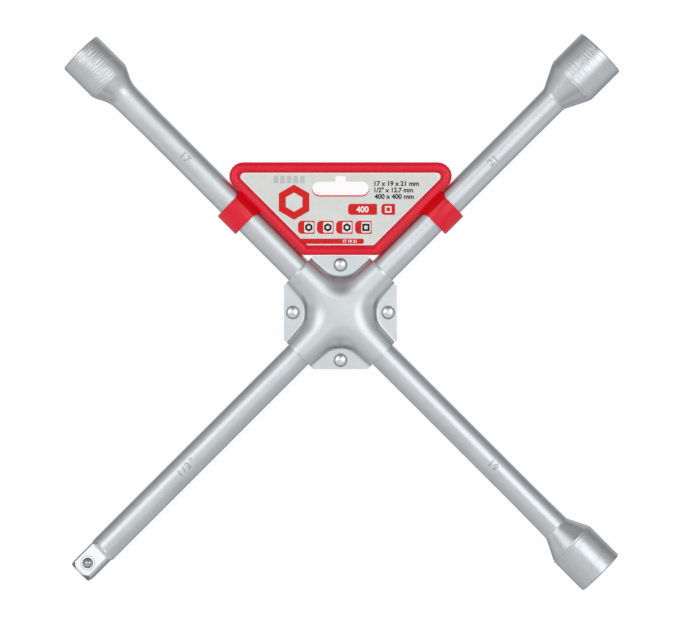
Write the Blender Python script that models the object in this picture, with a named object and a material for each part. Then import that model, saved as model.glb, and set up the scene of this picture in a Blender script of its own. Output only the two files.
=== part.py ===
"""Four-way lug wrench.

Two forged bars cross in a riveted hub of two stamped shells. Three arms end in hex sockets and the
fourth in a square drive with a sprung retaining ball. A hang tag clips over two of the arms.

The wrench lies flat: its arms run along X and Y, its front faces +Z, and the hub's centre is the
origin. The 21 mm socket is at +X, the 17 mm socket at +Y, the 19 mm socket at -Y, the drive at -X.
"""

import math

import bmesh
import bpy
from mathutils import Matrix, Vector

MM = 0.001

# Bars
ARM_REACH = 200.0 * MM  # hub centre to the end of an arm
ROD_DIAMETER = 15.0 * MM
LAP_GAP = 0.3 * MM  # between the two flats of the half-lap at the crossing
LAP_CLEARANCE = 0.3 * MM  # beside each rod in the other's notch

# Socket heads
SMALL_FLATS = 17.0 * MM
SMALL_HEAD_DIAMETER = 25.2 * MM
SMALL_NECK_DIAMETER = 15.9 * MM
SMALL_NECK_BLEND = 16.0 * MM
MEDIUM_FLATS = 19.0 * MM
MEDIUM_HEAD_DIAMETER = 27.4 * MM
MEDIUM_NECK_DIAMETER = 15.6 * MM
MEDIUM_NECK_BLEND = 5.0 * MM
LARGE_FLATS = 21.0 * MM
LARGE_HEAD_DIAMETER = 29.2 * MM
LARGE_NECK_DIAMETER = 15.4 * MM
LARGE_NECK_BLEND = 5.0 * MM
HEAD_LENGTH = 22.2 * MM  # straight part of a head
NECK_SLOPE = 0.5  # radius gained for each length along the neck's cone
SWELL_LENGTH = 24.0 * MM  # rod that swells toward the neck
SHOULDER_RADIUS = 1.6 * MM
RIM_RADIUS = 0.9 * MM
HEX_CLEARANCE = 0.2 * MM  # across flats, over the nut
HEX_DEPTH = 18.0 * MM
LEAD_IN = 0.3 * MM  # mouth chamfer, beyond the hex corners
LEAD_IN_SLOPE = 1.2  # depth for each radius of the mouth chamfer
RELIEF_STEP = 0.8 * MM  # stud bore, inside the hex flats
RELIEF_DEPTH = 5.0 * MM  # stud bore, past the hex
DRILL_POINT = math.radians(118.0)

# Square drive
DRIVE_SQUARE = 12.7 * MM
DRIVE_LENGTH = 16.3 * MM
DRIVE_CORNER_DIAMETER = 16.6 * MM  # over the rounded corners
DRIVE_RUNOUT = 1.9 * MM  # slope from a flat up to the rod
DRIVE_TIP_DIAMETER = 13.2 * MM  # over the corners at the tip
DRIVE_TIP_CHAMFER = 2.2 * MM  # length of the turned chamfer on the corners
DRIVE_TIP_BEVEL = 1.4 * MM  # length of the chamfer on the flats
DRIVE_TIP_INSET = 0.6 * MM  # depth of the chamfer on the flats
DRIVE_ROLL = math.radians(-8.0)  # turn of the flats about the bar
SWAGE_LENGTH = 2.2 * MM  # rod that widens to the drive's corners

# Retaining ball and its spring
BALL_DIAMETER = 6.35 * MM
BALL_FROM_TIP = 7.0 * MM
BALL_CLEARANCE = 0.15 * MM
BALL_MOUTH_DIAMETER = 5.8 * MM
BALL_BORE_DEPTH = 10.4 * MM  # below the flat
STAKE_DIAMETER = 8.3 * MM  # ring pressed round the mouth
STAKE_WIDTH = 0.7 * MM
STAKE_DEPTH = 0.25 * MM
SPRING_WIRE = 0.6 * MM
SPRING_DIAMETER = 5.0 * MM  # outside
SPRING_TURNS = 4.5
SPRING_SEAT_GAP = 0.2 * MM

# Hub shells
SHEET = 1.3 * MM
SHELL_CLEARANCE = 0.3 * MM  # over the rods
FLANGE_GAP = 0.3 * MM  # between the two shells
FLANGE_REACH = 30.7 * MM  # centre to a flange's outer edge
CHANNEL_REACH = 32.2 * MM  # centre to the end of a channel
CHANNEL_FLARE = math.radians(5.0)  # widening of a channel's foot toward the centre
FOOT_FILLET = 9.7 * MM  # plan radius between the feet of two channels
CREST_FILLET = 23.7 * MM  # plan radius between the crests of two channels
FOOT_RADIUS = 1.2 * MM  # bend between a flange and a channel

# Rivets
RIVET_REACH = 25.9 * MM  # centre to a rivet's axis
RIVET_SHANK = 4.0 * MM
RIVET_HEAD = 7.3 * MM
RIVET_HEAD_HEIGHT = 2.0 * MM
RIVET_CLEARANCE = 0.2 * MM

# Hang tag
TAG_BOTTOM = 31.7 * MM  # hub centre to the holder's lower edge
TAG_TOP = 82.1 * MM
TAG_ROD_GAP = 0.4 * MM  # between a rod and the holder's side
TAG_FRONT = 5.0 * MM  # rim's front above the arms' mid-plane
TAG_RIM_HEIGHT = 2.2 * MM
TAG_FLOOR = 1.5 * MM
TAG_TOP_RIM = 5.4 * MM
TAG_SIDE_RIM = 5.1 * MM
TAG_BOTTOM_RIM = 5.0 * MM
TAG_TOP_CORNER = 7.4 * MM
TAG_BOTTOM_CORNER = 2.0 * MM
TAG_INNER_CORNER = 1.5 * MM
TAG_EDGE = 0.6 * MM
CARD_THICKNESS = 0.5 * MM
CARD_CLEARANCE = 0.3 * MM
SLOT_WEB = 1.7 * MM  # tray left between the hanging slot and the top rim
SLOT_LENGTH = 30.7 * MM
SLOT_WIDTH = 7.8 * MM
SLOT_BUMP_WIDTH = 6.3 * MM
SLOT_BUMP_HEIGHT = 3.0 * MM
SLOT_BUMP_RADIUS = 1.8 * MM
CARD_SLOT_MARGIN = 0.5 * MM
CLIP_REACH = 77.3 * MM  # hub centre to a strap's middle
CLIP_WIDTH = 13.2 * MM
CLIP_WALL = 2.0 * MM
CLIP_CLEARANCE = 0.3 * MM
CLIP_LEG = 4.0 * MM  # strap's free leg below the arms' mid-plane
CLIP_EDGE = 0.4 * MM

# Facets
BAR_SIDES = 40
RIVET_SIDES = 20
BALL_SIDES = 20
ARC_STEP = math.radians(20.0)
HUB_ARC_STEPS = 10
CHANNEL_STEPS = 7
FOOT_STEPS = 2
SPRING_POINTS = 10
WELD = 0.0005 * MM
PAST = 2.0 * MM  # how far a cutter runs past what it cuts

# Sizes that follow
ROD = ROD_DIAMETER / 2
FLAT = DRIVE_SQUARE / 2
CHANNEL = ROD + SHELL_CLEARANCE + SHEET  # outer radius of a hub channel
FLANGE_FRONT = FLANGE_GAP / 2 + SHEET
BALL = BALL_DIAMETER / 2
BALL_SEAT = BALL + BALL_CLEARANCE
BALL_MOUTH = BALL_MOUTH_DIAMETER / 2
BALL_HEIGHT = FLAT - math.sqrt(BALL_SEAT**2 - BALL_MOUTH**2)  # ball's centre, held by the mouth
BORE_FLOOR = FLAT - BALL_BORE_DEPTH
TAG_BACK = TAG_FRONT - TAG_RIM_HEIGHT - TAG_FLOOR
TAG_FLOOR_FRONT = TAG_BACK + TAG_FLOOR
TAG_SIDE = ROD + TAG_ROD_GAP  # arm's axis to the holder's side
SLOT_TOP = TAG_TOP - TAG_TOP_RIM - SLOT_WEB  # hub centre to the top of the slot's bump
SLOT_HEIGHT = SLOT_TOP - SLOT_BUMP_HEIGHT - SLOT_WIDTH / 2  # hub centre to the slot's middle


def new_object(name, bm, parent=None, matrix=None):
    """Turn a bmesh into a linked object that is shaded smooth between its sharp edges."""
    mesh = bpy.data.meshes.new(name)
    bm.to_mesh(mesh)
    bm.free()
    mesh.shade_smooth()
    mesh.set_sharp_from_angle(angle=math.radians(30.0))
    obj = bpy.data.objects.new(name, mesh)
    bpy.context.scene.collection.objects.link(obj)
    place(obj, parent, matrix)
    return obj


def place(obj, parent, matrix):
    """Set an object under a parent at a local matrix."""
    obj.parent = parent
    if matrix is not None:
        obj.matrix_local = matrix


def empty(name, parent=None, matrix=None):
    """Make an axis marker that pieces hang from."""
    obj = bpy.data.objects.new(name, None)
    obj.empty_display_size = 10.0 * MM
    bpy.context.scene.collection.objects.link(obj)
    place(obj, parent, matrix)
    return obj


def hidden(obj):
    """Keep a helper solid out of the finished object."""
    obj.hide_render = True
    obj.display_type = "WIRE"
    return obj


def combine(obj, other, operation):
    """Cut a helper solid from an object, or join it on."""
    modifier = obj.modifiers.new(other.name, "BOOLEAN")
    modifier.operation = operation
    modifier.object = hidden(other)
    modifier.solver = "EXACT"


def material(obj, name, colour, roughness, metallic):
    """Give an object its own Principled material."""
    made = bpy.data.materials.new(name)
    made.use_nodes = True
    shader = made.node_tree.nodes["Principled BSDF"]
    shader.inputs["Base Color"].default_value = (*colour, 1.0)
    shader.inputs["Roughness"].default_value = roughness
    shader.inputs["Metallic"].default_value = metallic
    obj.data.materials.append(made)


def rounded(points, radii, closed=False):
    """Replace the corners of a 2D line by arcs; an arc takes at most half of a side."""
    count = len(points)
    result = []
    for i, radius in enumerate(radii):
        corner = Vector(points[i])
        end = not closed and i in (0, count - 1)
        if end or radius == 0.0:
            result.append(corner)
            continue
        back = Vector(points[i - 1]) - corner
        ahead = Vector(points[(i + 1) % count]) - corner
        half = back.angle(ahead) / 2
        reach = min(radius / math.tan(half), back.length / 2, ahead.length / 2)
        radius = reach * math.tan(half)
        centre = corner + (back.normalized() + ahead.normalized()).normalized() * (radius / math.sin(half))
        first = corner + back.normalized() * reach - centre
        turn = math.copysign(math.pi - 2 * half, ahead.x * back.y - ahead.y * back.x)
        steps = max(2, math.ceil(abs(turn) / ARC_STEP))
        for k in range(steps + 1):
            spoke = first.copy()
            spoke.rotate(Matrix.Rotation(turn * k / steps, 2))
            result.append(centre + spoke)
    return [tuple(p) for p in result]


def lathe(name, profile, sides, parent=None, matrix=None):
    """Turn a (radius, height) profile that starts and ends on the Z axis into a solid."""
    bm = bmesh.new()
    line = [bm.verts.new((radius, 0.0, height)) for radius, height in profile]
    edges = [bm.edges.new(pair) for pair in zip(line, line[1:])]
    axis = {"cent": (0.0, 0.0, 0.0), "axis": (0.0, 0.0, 1.0)}
    bmesh.ops.spin(bm, geom=line + edges, angle=math.tau, steps=sides, use_merge=True, **axis)
    bmesh.ops.remove_doubles(bm, verts=bm.verts, dist=WELD)
    bmesh.ops.recalc_face_normals(bm, faces=bm.faces)
    return new_object(name, bm, parent, matrix)


def prism(name, outline, low, high, parent=None, matrix=None):
    """Extrude a closed 2D outline along Z."""
    bm = bmesh.new()
    face = bm.faces.new([bm.verts.new((x, y, low)) for x, y in outline])
    grown = bmesh.ops.extrude_face_region(bm, geom=[face])
    raised = [v for v in grown["geom"] if isinstance(v, bmesh.types.BMVert)]
    bmesh.ops.translate(bm, verts=raised, vec=(0.0, 0.0, high - low))
    bmesh.ops.remove_doubles(bm, verts=bm.verts, dist=WELD)
    bmesh.ops.recalc_face_normals(bm, faces=bm.faces)
    return new_object(name, bm, parent, matrix)


def soften(obj, width, segments):
    """Round an object's sharp edges."""
    modifier = obj.modifiers.new("edges", "BEVEL")
    modifier.width = width
    modifier.segments = segments
    modifier.limit_method = "ANGLE"
    modifier.angle_limit = math.radians(50.0)


def socket_arm(head_diameter, neck_diameter, neck_blend):
    """Profile of an arm from its plain rod to the middle of its socket's end face."""
    head = head_diameter / 2
    neck = neck_diameter / 2
    shoulder = ARM_REACH - HEAD_LENGTH
    neck_end = shoulder - (head - neck) / NECK_SLOPE
    corners = [(ROD, neck_end - SWELL_LENGTH), (neck, neck_end)]
    corners += [(head, shoulder), (head, ARM_REACH), (0.0, ARM_REACH)]
    return rounded(corners, [0.0, neck_blend, SHOULDER_RADIUS, RIM_RADIUS, 0.0])


def drive_arm():
    """Profile of the drive's arm: rod, swage to the square's corners, and chamfered tip."""
    corner = DRIVE_CORNER_DIAMETER / 2
    tip = DRIVE_TIP_DIAMETER / 2
    root = ARM_REACH - DRIVE_LENGTH
    line = [(ROD, root - SWAGE_LENGTH), (corner, root)]
    return line + [(corner, ARM_REACH - DRIVE_TIP_CHAMFER), (tip, ARM_REACH), (0.0, ARM_REACH)]


def bar(name, low_arm, high_arm, turn):
    """Turn a whole bar from its two arms; its own Z runs to the high arm."""
    profile = [(radius, -height) for radius, height in reversed(low_arm)] + high_arm
    return lathe(name, profile, BAR_SIDES, wrench, turn)


def cut_socket(rod, name, flats, flip):
    """Cut a hex socket with its mouth chamfer and stud bore into a bar's end."""
    turn = Matrix.Rotation(math.pi, 4, "X") if flip else Matrix.Identity(4)
    across = flats + HEX_CLEARANCE
    corner = across / math.sqrt(3.0)
    floor = ARM_REACH - HEX_DEPTH
    spokes = [math.radians(60.0 * k + 30.0) for k in range(6)]
    hexagon = [(corner * math.cos(a), corner * math.sin(a)) for a in spokes]
    combine(rod, prism(name + "_hex", hexagon, floor, ARM_REACH + PAST, rod, turn), "DIFFERENCE")

    bore = across / 2 - RELIEF_STEP
    bottom = floor - RELIEF_DEPTH
    mouth = corner + LEAD_IN
    line = [(0.0, bottom - bore / math.tan(DRILL_POINT / 2)), (bore, bottom)]
    line += [(bore, ARM_REACH - (mouth - bore) * LEAD_IN_SLOPE)]
    line += [(mouth + PAST / LEAD_IN_SLOPE, ARM_REACH + PAST), (0.0, ARM_REACH + PAST)]
    combine(rod, lathe(name + "_bore", line, BAR_SIDES, rod, turn), "DIFFERENCE")


def cut_lap(rod, name, along, front):
    """Notch a bar at the crossing, on its front or its rear, as wide as the rod that lies in it."""
    half = ROD + LAP_CLEARANCE
    wide = ROD + PAST
    outline = [(-half, -wide), (half, -wide), (half, wide), (-half, wide)]
    low, high = (-LAP_GAP / 2, wide) if front else (-wide, LAP_GAP / 2)
    combine(rod, prism(name, outline, low, high, wrench, Matrix.Rotation(along, 4, "Z")), "DIFFERENCE")


def square_loop(bm, half, height):
    """Four corners of a square round the Z axis."""
    return [bm.verts.new((half * x, half * y, height)) for x, y in ((-1, -1), (1, -1), (1, 1), (-1, 1))]


def cut_drive(rod):
    """Cut the four flats with one square sleeve, drawn in at the tip and flared at the flats' run-out."""
    bm = bmesh.new()
    root = ARM_REACH - DRIVE_LENGTH
    # The flare follows the run-out's slope until it has left the rod.
    start = root - 1.5 * DRIVE_RUNOUT
    flare = FLAT + 1.5 * (ROD - FLAT)
    outer = flare + DRIVE_CORNER_DIAMETER
    tip = FLAT - DRIVE_TIP_INSET * (1 + PAST / DRIVE_TIP_BEVEL)
    loops = [square_loop(bm, tip, ARM_REACH + PAST), square_loop(bm, FLAT, ARM_REACH - DRIVE_TIP_BEVEL)]
    loops += [square_loop(bm, FLAT, root), square_loop(bm, flare, start)]
    loops += [square_loop(bm, outer, start), square_loop(bm, outer, ARM_REACH + PAST)]
    for i, loop in enumerate(loops):
        following = loops[(i + 1) % len(loops)]
        for k in range(4):
            n = (k + 1) % 4
            bm.faces.new((loop[k], loop[n], following[n], following[k]))
    bmesh.ops.recalc_face_normals(bm, faces=bm.faces)
    turn = Matrix.Rotation(math.pi, 4, "X") @ Matrix.Rotation(-DRIVE_ROLL, 4, "Z")
    combine(rod, new_object("drive_flats", bm, rod, turn), "DIFFERENCE")


def cut_detent(rod):
    """Cut the ball's bore, whose staked mouth follows the ball, and the ring pressed round it."""
    bore = BALL_SEAT
    reach = math.asin(BALL_MOUTH / BALL_SEAT)
    line = [(0.0, BORE_FLOOR), (bore, BORE_FLOOR)]
    for k in range(5):
        angle = math.pi / 2 + (reach - math.pi / 2) * k / 4
        line.append((BALL_SEAT * math.sin(angle), BALL_HEIGHT + BALL_SEAT * math.cos(angle)))
    line += [(BALL_MOUTH, FLAT + PAST), (0.0, FLAT + PAST)]
    combine(rod, lathe("ball_bore", line, BALL_SIDES, detent), "DIFFERENCE")

    bm = bmesh.new()
    ring = STAKE_DIAMETER / 2
    line = [(ring, FLAT + PAST), (ring - STAKE_WIDTH / 2, FLAT - STAKE_DEPTH), (ring - STAKE_WIDTH, FLAT + PAST)]
    loop = [bm.verts.new((radius, 0.0, height)) for radius, height in line]
    edges = [bm.edges.new((loop[i - 1], loop[i])) for i in range(3)]
    axis = {"cent": (0.0, 0.0, 0.0), "axis": (0.0, 0.0, 1.0)}
    bmesh.ops.spin(bm, geom=loop + edges, angle=math.tau, steps=BALL_SIDES, use_merge=True, **axis)
    bmesh.ops.remove_doubles(bm, verts=bm.verts, dist=WELD)
    bmesh.ops.recalc_face_normals(bm, faces=bm.faces)
    combine(rod, new_object("stake_ring", bm, detent), "DIFFERENCE")


def retaining_ball():
    """The ball, held by the staked mouth."""
    bm = bmesh.new()
    bmesh.ops.create_uvsphere(bm, u_segments=BALL_SIDES, v_segments=BALL_SIDES // 2, radius=BALL)
    return new_object("detent_ball", bm, detent, Matrix.Translation((0.0, 0.0, BALL_HEIGHT)))


def coil_spring():
    """Coil spring between the bore's floor and the ball."""
    mean = (SPRING_DIAMETER - SPRING_WIRE) / 2
    touch = BALL + SPRING_WIRE / 2 + SPRING_SEAT_GAP
    top = BALL_HEIGHT - math.sqrt(touch**2 - mean**2)
    bottom = BORE_FLOOR + SPRING_WIRE / 2 + SPRING_SEAT_GAP
    count = math.ceil(SPRING_TURNS * SPRING_POINTS)
    points = []
    for k in range(count + 1):
        angle = math.tau * SPRING_TURNS * k / count
        height = bottom + (top - bottom) * k / count
        points.append(Vector((mean * math.cos(angle), mean * math.sin(angle), height)))
    apart = [
        (points[i] - points[j]).length - SPRING_WIRE
        for i in range(count + 1)
        for j in range(i + SPRING_POINTS // 2, count + 1)
    ]
    print(f"detent_spring: least gap between turns {min(apart) / MM:.2f} mm")

    curve = bpy.data.curves.new("detent_spring", "CURVE")
    curve.dimensions = "3D"
    curve.bevel_depth = SPRING_WIRE / 2
    curve.bevel_resolution = 1
    curve.use_fill_caps = True
    spline = curve.splines.new("POLY")
    spline.points.add(count)
    for point, place_at in zip(spline.points, points):
        point.co = (*place_at, 1.0)
    obj = bpy.data.objects.new("detent_spring", curve)
    bpy.context.scene.collection.objects.link(obj)
    place(obj, detent, None)
    return obj


def channel_section():
    """Half section of a hub channel: (distance from the arm's axis, height), flange to crest."""
    bend = Vector((0.0, FLANGE_FRONT + FOOT_RADIUS))
    bend.x = math.sqrt((CHANNEL + FOOT_RADIUS) ** 2 - bend.y**2)
    lean = math.atan2(bend.y, bend.x)
    section = []
    for k in range(FOOT_STEPS):
        angle = -math.pi / 2 - (math.pi / 2 - lean) * k / FOOT_STEPS
        section.append((bend.x + FOOT_RADIUS * math.cos(angle), bend.y + FOOT_RADIUS * math.sin(angle)))
    for k in range(CHANNEL_STEPS + 1):
        angle = lean + (math.pi / 2 - lean) * k / CHANNEL_STEPS
        section.append((CHANNEL * math.cos(angle), CHANNEL * math.sin(angle)))
    return section


def hub_station(station, foot):
    """Foot and crest of one station of a quadrant's sweep, in plan.

    The sweep runs along the +X arm, round the fillets between the two channels, and along the +Y arm. The
    crest follows the arms' axes and the foot opens toward the centre.
    """
    if station == 0:
        return Vector((CHANNEL_REACH, foot)), Vector((CHANNEL_REACH, 0.0))
    if station == HUB_ARC_STEPS + 2:
        return Vector((foot, CHANNEL_REACH)), Vector((0.0, CHANNEL_REACH))
    share = (station - 1) / HUB_ARC_STEPS
    # The foot's fillet is centred on the diagonal, one radius off both feet.
    across = Vector((math.sin(CHANNEL_FLARE), math.cos(CHANNEL_FLARE)))
    middle = (across.dot(Vector((CHANNEL_REACH, foot))) + FOOT_FILLET) / (across.x + across.y)
    low = -math.pi / 2 - CHANNEL_FLARE - (math.pi / 2 - 2 * CHANNEL_FLARE) * share
    high = -math.pi / 2 - math.pi / 2 * share
    foot_point = Vector((middle, middle)) + FOOT_FILLET * Vector((math.cos(low), math.sin(low)))
    crest_point = CREST_FILLET * Vector((1.0 + math.cos(high), 1.0 + math.sin(high)))
    return foot_point, crest_point


def hub_shell(name, matrix):
    """Stamp one shell: a quarter of its outer face, mirrored twice and thickened inward."""
    bm = bmesh.new()
    section = channel_section()
    widest = section[0][0]
    stations = range(HUB_ARC_STEPS + 3)
    corner = FLANGE_REACH * math.sqrt(2.0) - CHANNEL_REACH
    rows = []
    for station in stations:
        share = station / stations[-1]
        edge = Vector((CHANNEL_REACH, corner)).lerp(Vector((corner, CHANNEL_REACH)), share)
        foot, crest = hub_station(station, widest)
        row = [bm.verts.new((edge.x, edge.y, FLANGE_FRONT))]
        row += [bm.verts.new((*crest.lerp(foot, away / widest), height)) for away, height in section]
        rows.append(row)
    for row, following in zip(rows, rows[1:]):
        for j in range(len(row) - 1):
            bm.faces.new((row[j], following[j], following[j + 1], row[j + 1]))
    centre = bm.verts.new((0.0, 0.0, CHANNEL))
    for row, following in zip(rows[1:-1], rows[2:-1]):
        bm.faces.new((row[-1], following[-1], centre))
    bmesh.ops.recalc_face_normals(bm, faces=bm.faces)
    if sum(face.normal.z for face in bm.faces) < 0.0:
        bmesh.ops.reverse_faces(bm, faces=bm.faces)
    shell = new_object(name, bm, wrench, matrix)

    mirror = shell.modifiers.new("quarters", "MIRROR")
    mirror.use_axis = (True, True, False)
    mirror.merge_threshold = WELD * 10
    sheet = shell.modifiers.new("sheet", "SOLIDIFY")
    sheet.thickness = SHEET
    sheet.offset = -1.0
    sheet.use_even_offset = True
    for key, spot in rivet_spots().items():
        hole = RIVET_SHANK / 2 + RIVET_CLEARANCE
        line = [(0.0, -PAST), (hole, -PAST), (hole, FLANGE_FRONT + PAST), (0.0, FLANGE_FRONT + PAST)]
        cutter = lathe(f"{name}_hole_{key}", line, RIVET_SIDES, shell, Matrix.Translation(spot))
        combine(shell, cutter, "DIFFERENCE")
    return shell


def rivet_spots():
    """Where the rivets stand, one on each diagonal, named as the wrench hangs by its tag."""
    spots = {}
    for k, key in enumerate(("top", "left", "bottom", "right")):
        angle = math.radians(45.0 + 90.0 * k)
        spots[key] = Vector((RIVET_REACH * math.cos(angle), RIVET_REACH * math.sin(angle), 0.0))
    return spots


def rivet(key, spot):
    """A rivet with a domed head on each side of the flanges."""
    head = RIVET_HEAD / 2
    seat = FLANGE_FRONT + RIVET_CLEARANCE
    # The dome is a cap of a sphere through the head's edge and its top.
    sphere = (head**2 + RIVET_HEAD_HEIGHT**2) / (2 * RIVET_HEAD_HEIGHT)
    reach = math.asin(min(1.0, head / sphere))
    side = [(RIVET_SHANK / 2, seat)]
    for k in range(5):
        angle = reach * (1 - k / 4)
        side.append((sphere * math.sin(angle), seat + RIVET_HEAD_HEIGHT - sphere * (1 - math.cos(angle))))
    side[-1] = (0.0, seat + RIVET_HEAD_HEIGHT)
    profile = [(radius, -height) for radius, height in reversed(side)] + side
    return lathe(f"rivet_{key}", profile, RIVET_SIDES, wrench, Matrix.Translation(spot))


def tag_outline(top_in, side_in, bottom_in, radii):
    """Holder outline in the tag's frame (Y up the tag), moved in from each edge."""
    low = TAG_BOTTOM + bottom_in
    high = TAG_TOP - top_in
    lean = (TAG_SIDE + side_in) * math.sqrt(2.0)
    corners = [(low - lean, low), (high - lean, high), (lean - high, high), (lean - low, low)]
    bottom, top = radii
    return rounded(corners, [bottom, top, top, bottom], closed=True)


def slot_outline(grow):
    """Hanging slot with round ends and a bump over its middle, grown by a margin."""
    half = SLOT_LENGTH / 2 + grow
    low = SLOT_HEIGHT - SLOT_WIDTH / 2 - grow
    high = SLOT_HEIGHT + SLOT_WIDTH / 2 + grow
    bump = SLOT_BUMP_WIDTH / 2 + grow
    top = high + SLOT_BUMP_HEIGHT
    corners = [(-half, low), (half, low), (half, high), (bump, high), (bump, top)]
    corners += [(-bump, top), (-bump, high), (-half, high)]
    end = (high - low) / 2
    tip = SLOT_BUMP_RADIUS
    return rounded(corners, [end, end, end, 0.0, tip, tip, 0.0, end], closed=True)


def clip_section():
    """Strap section across an arm: X toward the tag, Y to the front, arm's axis at the origin."""
    inner = ROD + CLIP_CLEARANCE
    outer = inner + CLIP_WALL
    root = TAG_BACK + TAG_EDGE
    steps = 10
    section = [(-inner, -CLIP_LEG), (-outer, -CLIP_LEG)]
    for radius, way in ((outer, 1), (inner, -1)):
        stop = math.asin(root / radius)
        angles = [math.pi + (stop - math.pi) * k / steps for k in range(steps + 1)]
        section += [(radius * math.cos(a), radius * math.sin(a)) for a in angles[::way]]
    return section


def tag_holder():
    """Moulded tray with a rim, a hanging slot and two straps over the arms."""
    corners = (TAG_BOTTOM_CORNER, TAG_TOP_CORNER)
    outline = tag_outline(0.0, 0.0, 0.0, corners)
    holder = prism("tag_holder", outline, TAG_BACK, TAG_FRONT, tag)
    soften(holder, TAG_EDGE, 2)
    for key, angle in (("right", math.pi / 4), ("left", math.pi * 3 / 4)):
        lie = Matrix.Rotation(angle, 4, "Z") @ Matrix.Translation((CLIP_REACH, 0.0, 0.0))
        # The section's X turns toward the tag, and the strap's width lies along the arm.
        toward = 1 if key == "right" else -1
        face = Matrix(((0, 0, toward, 0), (toward, 0, 0, 0), (0, 1, 0, 0), (0, 0, 0, 1)))
        strap = prism(f"strap_{key}", clip_section(), -CLIP_WIDTH / 2, CLIP_WIDTH / 2, tag, lie @ face)
        soften(strap, CLIP_EDGE, 1)
        combine(holder, strap, "UNION")
    recess = tag_outline(TAG_TOP_RIM, TAG_SIDE_RIM, TAG_BOTTOM_RIM, (TAG_INNER_CORNER, TAG_INNER_CORNER))
    combine(holder, prism("tray", recess, TAG_FLOOR_FRONT, TAG_FRONT + PAST, tag), "DIFFERENCE")
    slot = prism("hanging_slot", slot_outline(0.0), TAG_BACK - PAST, TAG_FRONT + PAST, tag)
    combine(holder, slot, "DIFFERENCE")
    return holder


def tag_card():
    """Printed card in the tray."""
    gap = CARD_CLEARANCE
    corner = TAG_INNER_CORNER
    outline = tag_outline(TAG_TOP_RIM + gap, TAG_SIDE_RIM + gap, TAG_BOTTOM_RIM + gap, (corner, corner))
    low = TAG_FLOOR_FRONT + gap / 2
    card = prism("tag_card", outline, low, low + CARD_THICKNESS, tag)
    window = prism("card_slot", slot_outline(CARD_SLOT_MARGIN), TAG_BACK, TAG_FRONT, tag)
    combine(card, window, "DIFFERENCE")
    return card


for old in list(bpy.data.objects):
    bpy.data.objects.remove(old)

wrench = empty("lug_wrench")
along_x = Matrix.Rotation(math.pi / 2, 4, "Y")
along_y = Matrix.Rotation(-math.pi / 2, 4, "X")
detent_spot = Vector((BALL_FROM_TIP - ARM_REACH, 0.0, 0.0))
detent = empty("detent_axis", wrench, Matrix.Translation(detent_spot) @ Matrix.Rotation(DRIVE_ROLL, 4, "X"))
tag = empty("tag_axis", wrench, Matrix.Rotation(-math.pi / 4, 4, "Z"))

small = socket_arm(SMALL_HEAD_DIAMETER, SMALL_NECK_DIAMETER, SMALL_NECK_BLEND)
medium = socket_arm(MEDIUM_HEAD_DIAMETER, MEDIUM_NECK_DIAMETER, MEDIUM_NECK_BLEND)
large = socket_arm(LARGE_HEAD_DIAMETER, LARGE_NECK_DIAMETER, LARGE_NECK_BLEND)

socket_bar = bar("socket_bar", medium, small, along_y)
cut_socket(socket_bar, "small_socket", SMALL_FLATS, False)
cut_socket(socket_bar, "medium_socket", MEDIUM_FLATS, True)
cut_lap(socket_bar, "front_notch", math.pi / 2, True)

drive_bar = bar("drive_bar", drive_arm(), large, along_x)
cut_socket(drive_bar, "large_socket", LARGE_FLATS, False)
cut_drive(drive_bar)
cut_detent(drive_bar)
cut_lap(drive_bar, "rear_notch", 0.0, False)

SATIN = (0.62, 0.63, 0.64)
material(socket_bar, "satin_plate_socket_bar", SATIN, 0.34, 1.0)
material(drive_bar, "satin_plate_drive_bar", SATIN, 0.34, 1.0)
material(hub_shell("hub_shell_front", Matrix.Identity(4)), "satin_plate_front_shell", SATIN, 0.32, 1.0)
material(hub_shell("hub_shell_rear", Matrix.Rotation(math.pi, 4, "X")), "satin_plate_rear_shell", SATIN, 0.32, 1.0)
for rivet_key, rivet_spot in rivet_spots().items():
    material(rivet(rivet_key, rivet_spot), f"plated_rivet_{rivet_key}", (0.66, 0.67, 0.68), 0.28, 1.0)
material(retaining_ball(), "ball_steel", (0.45, 0.45, 0.46), 0.2, 1.0)
material(coil_spring(), "spring_steel", (0.4, 0.4, 0.41), 0.35, 1.0)
material(tag_holder(), "red_plastic", (0.78, 0.03, 0.06), 0.38, 0.0)
material(tag_card(), "printed_card", (0.68, 0.68, 0.65), 0.55, 0.0)
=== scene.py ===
"""Looks of a four-way lug wrench that lies flat, with a hang tag clipped over two of its arms.

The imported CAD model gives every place: arms along X and Y, front toward +Z, the hub's centre at the origin. Sizes in
the classes are millimetres, and put_piece turns them to metres. A turn round a bar starts at the front.
"""

import logging
import math
from dataclasses import dataclass
from enum import Enum

import bmesh
import bpy
import numpy as np
from mathutils import Matrix


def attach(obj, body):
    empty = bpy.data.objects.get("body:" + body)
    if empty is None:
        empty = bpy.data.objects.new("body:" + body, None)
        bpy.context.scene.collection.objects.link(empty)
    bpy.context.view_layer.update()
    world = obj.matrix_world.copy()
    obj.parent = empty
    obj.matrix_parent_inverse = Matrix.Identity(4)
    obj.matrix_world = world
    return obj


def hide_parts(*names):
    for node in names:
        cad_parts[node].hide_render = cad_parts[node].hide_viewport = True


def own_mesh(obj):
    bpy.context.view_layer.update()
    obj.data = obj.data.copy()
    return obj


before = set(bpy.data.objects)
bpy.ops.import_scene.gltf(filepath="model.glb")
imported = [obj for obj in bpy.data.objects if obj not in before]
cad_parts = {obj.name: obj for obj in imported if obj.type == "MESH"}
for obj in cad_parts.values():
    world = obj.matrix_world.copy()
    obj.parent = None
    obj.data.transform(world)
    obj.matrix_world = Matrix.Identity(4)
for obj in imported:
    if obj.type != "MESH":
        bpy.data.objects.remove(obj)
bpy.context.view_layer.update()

LOG = logging.getLogger("lug_wrench")
MM = 0.001
WELD = 2e-7  # metres; points closer than this are one
ARM_REACH = 200.0  # hub centre to the end of an arm
ROD = 7.5  # radius of a bar
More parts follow.
